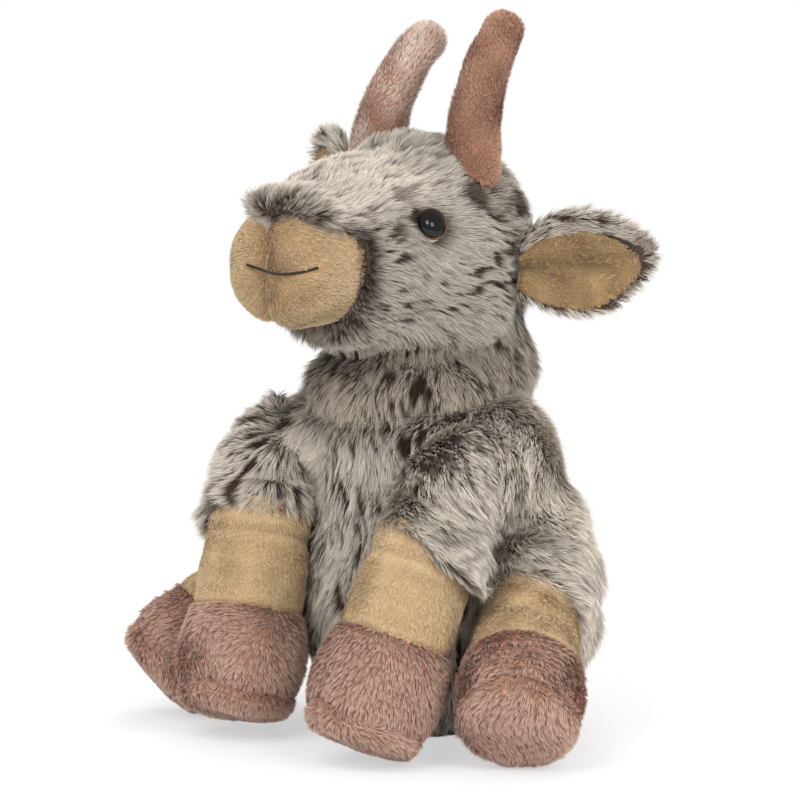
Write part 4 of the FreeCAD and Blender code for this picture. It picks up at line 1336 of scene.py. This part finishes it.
ROOT_TAPER = 6.2 * MM
HEM_SHORT = 3 * MM
DRAPE_DROP = {"front": 9 * MM, "hind": 3 * MM}
DRAPE_FLARE = {"front": 5 * MM, "hind": 2 * MM}


def root_taper(height):
    """How much thinner than the CAD leg a sleeve is at its root, where it goes into the trunk."""
    return ROOT_TAPER * (1 - float(smooth_step(-10 * MM, 12 * MM, height)))


def drape_share(local, sign):
    """1 on a leg's outer, rear side and 0 on its inner front, in the leg's own frame."""
    angle = np.arctan2(local[:, 1], local[:, 0] * sign)
    return (0.5 + 0.5 * np.cos(angle + math.radians(35))) ** 2


def drape(hem, sign, end):
    """Lets the outer, rear side of a sleeve hang lower and wider, as loose cloth does."""
    def move(local):
        """Down and outwards, most of all at the hem."""
        share = drape_share(local, sign) * smooth_step(-8 * MM, hem, local[:, 2])
        radius = np.maximum(np.hypot(local[:, 0], local[:, 1]), 1e-9)
        local[:, 2] += DRAPE_DROP[end] * share
        local[:, :2] *= (1 + DRAPE_FLARE[end] * share / radius)[:, None]
        return local
    return move


def front_dart(dart_start, sole_start):
    """Presses a short seam into the front of a hoof and pulls the sole's seam up to it."""
    def move(local):
        """Inwards along the dart, and towards it along the sole's seam."""
        angle = np.arctan2(local[:, 0], local[:, 1])
        radius = np.hypot(local[:, 0], local[:, 1])
        beside = angle * radius
        dent = 1.2 * MM * np.exp(-(beside / (1.3 * MM)) ** 2)
        dent *= smooth_step(dart_start, dart_start + 6 * MM, local[:, 2])
        local[:, :2] *= ((radius - dent) / np.maximum(radius, 1e-9))[:, None]
        near_sole = np.exp(-((local[:, 2] - sole_start) / (4 * MM)) ** 2)
        local[:, 2] -= 2.5 * MM * np.exp(-(beside / (7 * MM)) ** 2) * near_sole
        return local
    return move


def over_end(local):
    """Along the leg, and over its end from front to back."""
    lay = np.zeros_like(local)
    lay[:, 2] = 0.6
    lay[:, 1] = -0.8
    return lay


def seam_dark(local, sole_start):
    """Undercolour along the sole's seam, which runs up to a point in front."""
    beside = np.arctan2(local[:, 0], local[:, 1]) * np.hypot(local[:, 0], local[:, 1])
    seam = sole_start - 2.5 * MM * np.exp(-(beside / (7 * MM)) ** 2)
    return 0.85 * (1 - smooth_step(0.5 * MM, 2.2 * MM, np.abs(local[:, 2] - seam)))


# %% The four panels of a leg


def sleeve_skin(name, outline, hem, place, side, end):
    """The fur sleeve: thin where it goes into the trunk, and draped over the cuff."""
    start = outline[0].min()
    rings = [(start + 1.5 * MM, 1 * MM)]
    rings += swollen(outline, start + 2.5 * MM, hem - 0.5 * MM, 1.0, 1.6, 18)
    rings = [(height, max(radius - root_taper(height), 1 * MM)) for height, radius in rings]
    rings.append((hem + 0.3 * MM, rings[-1][1] - 1.2 * MM))
    rings.append((hem - 2 * MM, rings[-1][1] - 2.5 * MM))
    sleeve = turned_skin(name, rings, place, fur_backing)
    reshape(sleeve, place, drape(hem, SIDES[side], end))
    return sleeve


def cuff_skin(name, outline, hem, place):
    """The tan cuff, from under the sleeve's hem to the hoof."""
    cuff_end = outline[0].max()
    rings = [(hem - 3 * MM, outline[1].max() - 5 * MM)]
    rings += swollen(outline, hem - 1 * MM, cuff_end - 0.2 * MM, 0.5, 0.9, 10)
    rings.append((cuff_end + 0.4 * MM, rings[-1][1] - 2.5 * MM))
    return turned_skin(name, rings, place, tan_backing)


def hoof_skin(name, outline, cuff_end, place, dart):
    """The brown hoof, the fullest panel, with a dart in front."""
    sole_start = outline[0].max()
    rings = [(cuff_end - 0.6 * MM, outline[1].min() - 3 * MM)]
    rings += swollen(outline, cuff_end + 0.3 * MM, sole_start - 0.2 * MM, 1.3, 1.4, 16)
    rings.append((sole_start + 0.2 * MM, rings[-1][1] - 2.5 * MM))
    hoof = turned_skin(name, rings, place, brown_backing, sides=128)
    reshape(hoof, place, dart)
    return hoof


def sole_skin(name, outline, sole_start, place, dart):
    """The brown sole, which rounds over the end of the leg."""
    leg_end = outline[0].max()
    rings = [(sole_start - 0.2 * MM, outline[1].max() - 4 * MM)]
    rings += swollen(outline, sole_start + 0.4 * MM, leg_end - 3.2 * MM, 0.4, 1.2, 10)
    end_radius = rings[-1][1]
    for angle in np.linspace(0.3, math.pi / 2, 7):
        height = leg_end - 3.2 * MM + 2.4 * MM * math.sin(angle)
        rings.append((height, end_radius * math.cos(angle) + 0.3 * MM))
    sole = turned_skin(name, rings, place, brown_backing, sides=128)
    reshape(sole, place, dart)
    return sole


# %% The pile of a leg


def plant_sleeve(sleeve, place, side, end, hem, seed):
    """Fur on the sleeve, brushed one way, down to its hem and not inside the trunk."""
    sign = SIDES[side]
    sleeve_middle = Vector(into(place, points_of(sleeve)).mean(axis=0))
    outwards, back = (0.75, 0.2) if end == "front" else (0.45, 0.5)
    outward_down = Vector((outwards * sign, back, -0.65)).normalized()
    flow = frame_at(place @ sleeve_middle, outward_down, UP)
    brushed = np.array(place)[:3, :3].T @ np.array(outward_down)
    least = 0.0 if end == "front" else 0.6

    def grows(local):
        """Down to the draped hem, and not inside the trunk."""
        kept = local[:, 2] < hem + 0.2 * MM + DRAPE_DROP[end] * drape_share(local, sign)
        kept[kept] = height_over(out_of(place, local[kept]), [trunk_tree]) > -1 * MM
        return kept

    def crease_painted_shade(local):
        """Painted shade in the crease where the sleeve's inner front comes out of the trunk, drawn as dark
        undercolour.
        """
        crease = 1 - smooth_step(0, 4 * MM, height_over(out_of(place, local), [trunk_tree]))
        return 0.5 * crease * (1 - smooth_step(-4 * MM, 3 * MM, local[:, 0] * sign))

    plant_pile(f"{side}_{end}_sleeve_pile", sleeve, place, FUR, f"{side}_{end}_leg", seed, skip=(side, end),
               keep=grows, shade=crease_painted_shade if end == "front" else None, flow=flow,
               comb=lambda local: np.tile(brushed, (len(local), 1)),
               thin=lambda local: 0.68 + 0.32 * smooth_step(-4 * MM, 9 * MM, local[:, 2]),
               plain=lambda local: np.maximum(0.45 * smooth_step(0, 14 * MM, local[:, 0] * sign), least))


def plant_lower_leg(cuff, hoof, sole, place, side, end, hem, cuff_end, sole_start, seed):
    """Velboa on the cuff, the hoof and the sole."""
    body, key = f"{side}_{end}_leg", (side, end)
    plant_pile(f"{side}_{end}_cuff_pile", cuff, place, TAN, body, seed, skip=key,
               keep=lambda local: local[:, 2] > hem - 2.5 * MM)
    plant_pile(f"{side}_{end}_hoof_pile", hoof, place, BROWN, body, seed + 1, skip=key,
               shade=lambda local: seam_dark(local, sole_start),
               keep=lambda local: (local[:, 2] > cuff_end) & (local[:, 2] < sole_start))
    plant_pile(f"{side}_{end}_sole_pile", sole, place, BROWN, body, seed + 2, skip=key, comb=over_end,
               shade=lambda local: seam_dark(local, sole_start),
               keep=lambda local: local[:, 2] > sole_start - 2.6 * MM)


# %% The four legs
LEG_SEED, SEEDS_PER_LEG = 60, 10
# How far below the cuff the dart in front of a hoof starts.
DART_START = {"front": 8 * MM, "hind": 1 * MM}
sleeve_trees = []
for number, ((side, end), place) in enumerate(leg_places.items()):
    leg = f"{side}_{end}"
    seed = LEG_SEED + SEEDS_PER_LEG * number
    sleeve_outline, cuff_outline, hoof_outline, sole_outline = (
        outline_of(f"{leg}_{panel}", place) for panel in ("sleeve", "cuff", "hoof", "sole"))
    hem = sleeve_outline[0].max() - HEM_SHORT
    cuff_end, sole_start = cuff_outline[0].max(), hoof_outline[0].max()
    dart = front_dart(cuff_end + DART_START[end], sole_start)

    sleeve = sleeve_skin(f"{leg}_sleeve_pelt", sleeve_outline, hem, place, side, end)
    wrinkle(sleeve, 1.2, 12, seed)
    sleeve_trees.append(tree_of(sleeve))
    cuff = cuff_skin(f"{leg}_cuff_velboa", cuff_outline, hem, place)
    wrinkle(cuff, 0.8, 10, seed + 1)
    hoof = hoof_skin(f"{leg}_hoof_velboa", hoof_outline, cuff_end, place, dart)
    wrinkle(hoof, 1.2, 13, seed + 2)
    sole = sole_skin(f"{leg}_sole_velboa", sole_outline, sole_start, place, dart)

    for made, node, slot, fill in ((sleeve, "sleeve", "frosted_fur", 0.7), (cuff, "cuff", "tan_velboa", 0.8),
                                   (hoof, "hoof", "brown_velboa", 0.8), (sole, "sole", "brown_velboa", 0.7)):
        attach(made, f"{leg}_leg")
        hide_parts(f"{leg}_{node}")
    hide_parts(f"{leg}_stuffing")
    plant_sleeve(sleeve, place, side, end, hem, seed + 3)
    plant_lower_leg(cuff, hoof, sole, place, side, end, hem, cuff_end, sole_start, seed + 4)

# %% [markdown]
# ## Pile of the trunk
# The trunk's pile comes after the legs, because none grows where a sleeve covers the trunk. It is planted
# in six sectors round the trunk, each a piece of its own, so that no piece gets too heavy. The two
# sectors at the back have about a third fewer blades.

# %% Pile of the trunk
SECTORS = 6
BACK_SECTORS = (0, 1)
BACK_BLADES = 4.6


def sector_of(local):
    """Which sector of the trunk a place is in; 0 and 1 are at its back."""
    turn = np.arctan2(local[:, 0], -local[:, 1]) / (2 * math.pi) * SECTORS
    return np.floor(turn + 1).astype(int) % SECTORS


def trunk_undercolour_and_painted_shade(local):
    """Undercolour under the neck seam, and painted shade in the folds beside the legs."""
    collar = 1 - smooth_step(3 * MM, 9 * MM, neck_foot.z + local[:, 2])
    fold = 1 - smooth_step(0, 3 * MM, height_over(out_of(trunk_place, local), sleeve_trees))
    in_front = smooth_step(5 * MM, 20 * MM, local[:, 1])
    return np.maximum(0.8 * collar * in_front, 0.75 * fold * in_front)


def trunk_painted_light(local):
    """Painted light at the sides and back, a little brighter, and painted shade between the front legs,
    darker.
    """
    front = smooth_step(0, 20 * MM, local[:, 1]) * (1 - smooth_step(12 * MM, 28 * MM, np.abs(local[:, 0])))
    return 1.2 - 0.24 * front


def trunk_plain(local):
    """Fewer dashes at the sides and back."""
    return 0.85 * (1 - smooth_step(12 * MM, 30 * MM, local[:, 1]))


def grows_on_trunk(local, number):
    """Outside the sleeves; only this sector's places are looked at, since the search is slow."""
    answer = sector_of(local) == number
    answer[answer] = height_over(out_of(trunk_place, local[answer]), sleeve_trees) > -2 * MM
    return answer


for number in range(SECTORS):
    kind = dict(FUR, per_mm2=BACK_BLADES) if number in BACK_SECTORS else FUR
    plant_pile(f"trunk_pile_{number + 1}", trunk, trunk_place, kind, "body", 11 + number,
               comb=trunk_comb, shade=trunk_undercolour_and_painted_shade, pale=trunk_painted_light, plain=trunk_plain,
               keep=lambda local, number=number: (sector_of(local) == number) & (local[:, 2] < -1.5 * MM)
               & grows_on_trunk(local, number))

# %% [markdown]
# ## Ears
# An ear is a leaf of fur with a tan lining, cupped along its length, its root folded into the head seam.
# The CAD leaf is flat, so its outline is read from the node and a new leaf is bent into a cup: a grid is
# laid over the outline, two surfaces are lifted off it, and the pile of the fur side stands out round the
# rim.

# %% The shape of an ear
EAR_DROOP = {"left": 4 * MM, "right": 1 * MM}
# How far each leaf stops short of the outline below, above and at the tip.
PELT_HEM = (0.8 * MM, 0.8 * MM, 0.8 * MM)
LINING_HEM = (1.6 * MM, 6.2 * MM, 4.0 * MM)
EAR_FUR = dict(FUR, length=5.5, dash=(2.6, 0.8, 0.36), root_colour="#50402f")
# The lining's dark root colour also serves as the painted shade in the pocket fold and at the root.
LINING_PILE = dict(MUZZLE_PILE, per_mm2=10, root_colour="#5f4529", mid_colour="#a5875d",
                   tip_colour="#b79c73", dash_depth=0.8)


def leaf_outline(node, place, droop):
    """Lower and upper edge of the ear, root to tip; it hangs a little below the CAD leaf."""
    local = into(place, points_of(frame["nodes"][node]))
    reach, rise = local[:, 0], local[:, 2]
    tip = reach.max()
    steps = np.linspace(0, tip, 25)
    low, high = [], []
    chord = np.interp(steps, (0, tip), (0, rise[reach.argmax()]))
    for step, centre in zip(steps, chord):
        near = rise[np.abs(reach - step) < 1.2 * MM]
        low.append(near.min() if len(near) else centre)
        high.append(near.max() if len(near) else centre)
    hang = droop * (0.6 + 0.4 * smooth_step(0, 1, steps / tip))
    return steps, np.array(low) - hang, np.array(high) - hang


def edges_within(outline, reach, hem):
    """Lower and upper edge of a leaf that stops short of the outline by its hem."""
    steps, low, high = outline
    return np.interp(reach, steps, low) + hem[0], np.interp(reach, steps, high) - hem[1]


def cup(outline, reach, rise):
    """How far the cupped ear stands off its flat outline, with a pocket fold near its root."""
    low, high = edges_within(outline, reach, (0, 0, 0))
    across = np.clip((2 * rise - low - high) / np.maximum(high - low, 4 * MM), -1.2, 1.2)
    share = reach / outline[0][-1]
    bowl = 5.0 * MM * (across ** 2 - 0.45) * smooth_step(0, 0.35, share) * (1 - 0.4 * share)
    fold = 3.5 * MM * np.exp(-((across + 0.15) / 0.20) ** 2) * (1 - smooth_step(0.35, 0.85, share))
    return bowl - fold


def ear_leaf(name, outline, place, hem, offset, backing, flip):
    """A cupped leaf; offset is how far it stands off the middle surface, towards the lining."""
    bpy.ops.object.select_all(action="DESELECT")
    bpy.ops.mesh.primitive_grid_add(x_subdivisions=40, y_subdivisions=24, size=2)
    leaf = bpy.context.object
    leaf.name = leaf.data.name = name
    grid = points_of(leaf)
    share, across = (grid[:, 0] + 1) / 2, grid[:, 1]
    grid[:, 0] = share * (outline[0][-1] - hem[2])
    low, high = edges_within(outline, grid[:, 0], hem)
    half = ((high - low) / 2).clip(0.3 * MM) * np.sqrt(np.clip(1 - share ** 6, 0, 1))
    grid[:, 2] = (low + high) / 2 + across * half
    grid[:, 1] = flip * (cup(outline, grid[:, 0], grid[:, 2]) + offset)
    leaf.data.vertices.foreach_set("co", grid.astype(np.float32).ravel())
    leaf.data.transform(place)
    apply_modifier(leaf, "SOLIDIFY", thickness=0.9 * MM, offset=0.0)
    for face in leaf.data.polygons:
        face.use_smooth = True
    leaf.data.materials.append(backing)
    return leaf


def fold_shade(local, outline):
    """Painted shade in the pocket fold and near the root."""
    low, high = edges_within(outline, local[:, 0], (0, 0, 0))
    across = (2 * local[:, 2] - low - high) / np.maximum(high - low, 4 * MM)
    share = local[:, 0] / outline[0][-1]
    fold = np.exp(-((across + 0.15) / 0.20) ** 2) * (1 - smooth_step(0.45, 0.85, share))
    return np.maximum(fold, 1 - smooth_step(0.05, 0.35, share))


def on_rim(local, outline):
    """Beyond the lining's edge."""
    low, high = edges_within(outline, local[:, 0], LINING_HEM)
    return (local[:, 2] < low) | (local[:, 2] > high) | (local[:, 0] > outline[0][-1] - LINING_HEM[2])


# %% Ears
for side, sign in SIDES.items():
    place = ear_places[side]
    body = f"{side}_ear_flap"
    lining_y, back_y = (into(place, points_of(frame["nodes"][node]))[:, 1].mean()
                        for node in (f"{side}_ear_lining", f"{side}_ear"))
    lining_side = 1 if lining_y > back_y else -1
    outline = leaf_outline(f"{side}_ear", place, EAR_DROOP[side])
    back = ear_leaf(f"{side}_ear_pelt", outline, place, PELT_HEM, -0.6 * MM, fur_backing, lining_side)
    front_leaf = ear_leaf(f"{side}_ear_velboa", outline, place, LINING_HEM, 0.8 * MM, muzzle_backing,
                          lining_side)
    for made, node, slot in ((back, f"{side}_ear", "frosted_fur"),
                             (front_leaf, f"{side}_ear_lining", "tan_velboa")):
        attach(made, body)
        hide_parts(node)

    def outward_lay(local):
        """From root to tip, and out to the nearer edge."""
        lay = np.zeros_like(local)
        lay[:, 0] = 1.0
        spine_rise = np.interp(local[:, 0], outline[0], (outline[1] + outline[2]) / 2)
        lay[:, 2] = np.sign(local[:, 2] - spine_rise) * 0.5
        return lay

    plant_pile(f"{side}_ear_fur", back, place, EAR_FUR, body, 120 + sign, comb=outward_lay,
               facing=(0, -lining_side, 0),
               shade=lambda local: 0.5 * (1 - smooth_step(2 * MM, 6 * MM, local[:, 0])))
    plant_pile(f"{side}_ear_rim_fur", back, place, EAR_FUR, body, 125 + sign, comb=outward_lay,
               facing=(0, lining_side, 0), keep=lambda local: on_rim(local, outline))
    plant_pile(f"{side}_ear_lining_pile", front_leaf, place, LINING_PILE, body, 130 + sign,
               comb=outward_lay, facing=(0, lining_side, 0), shade=lambda local: fold_shade(local, outline))

# %% [markdown]
# ## Tail
# The tail is a short stuffed tube of fur at the back of the seat. It is turned between its seam and its
# tip from the CAD outline, as the legs are, and its pile runs to the tip and hides the rest.

# %% Tail
heights, radii = outline_of("tail_skin", tail_place)
tail_rings = [(heights.min() + 1.2 * MM, 1 * MM)]
tail_rings += swollen((heights, radii), heights.min() + 2 * MM, heights.max() - 1.5 * MM, 0.3, 1.2, 12)
tail_rings.append((heights.max() - 1.2 * MM, 1 * MM))
tail = turned_skin("tail_pelt", tail_rings, tail_place, fur_backing, sides=48)
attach(tail, "tail")
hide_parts("tail_skin", "tail_stuffing")
plant_pile("tail_pile", tail, tail_place, FUR, "tail", 141, keep=lambda local: local[:, 2] > 0)
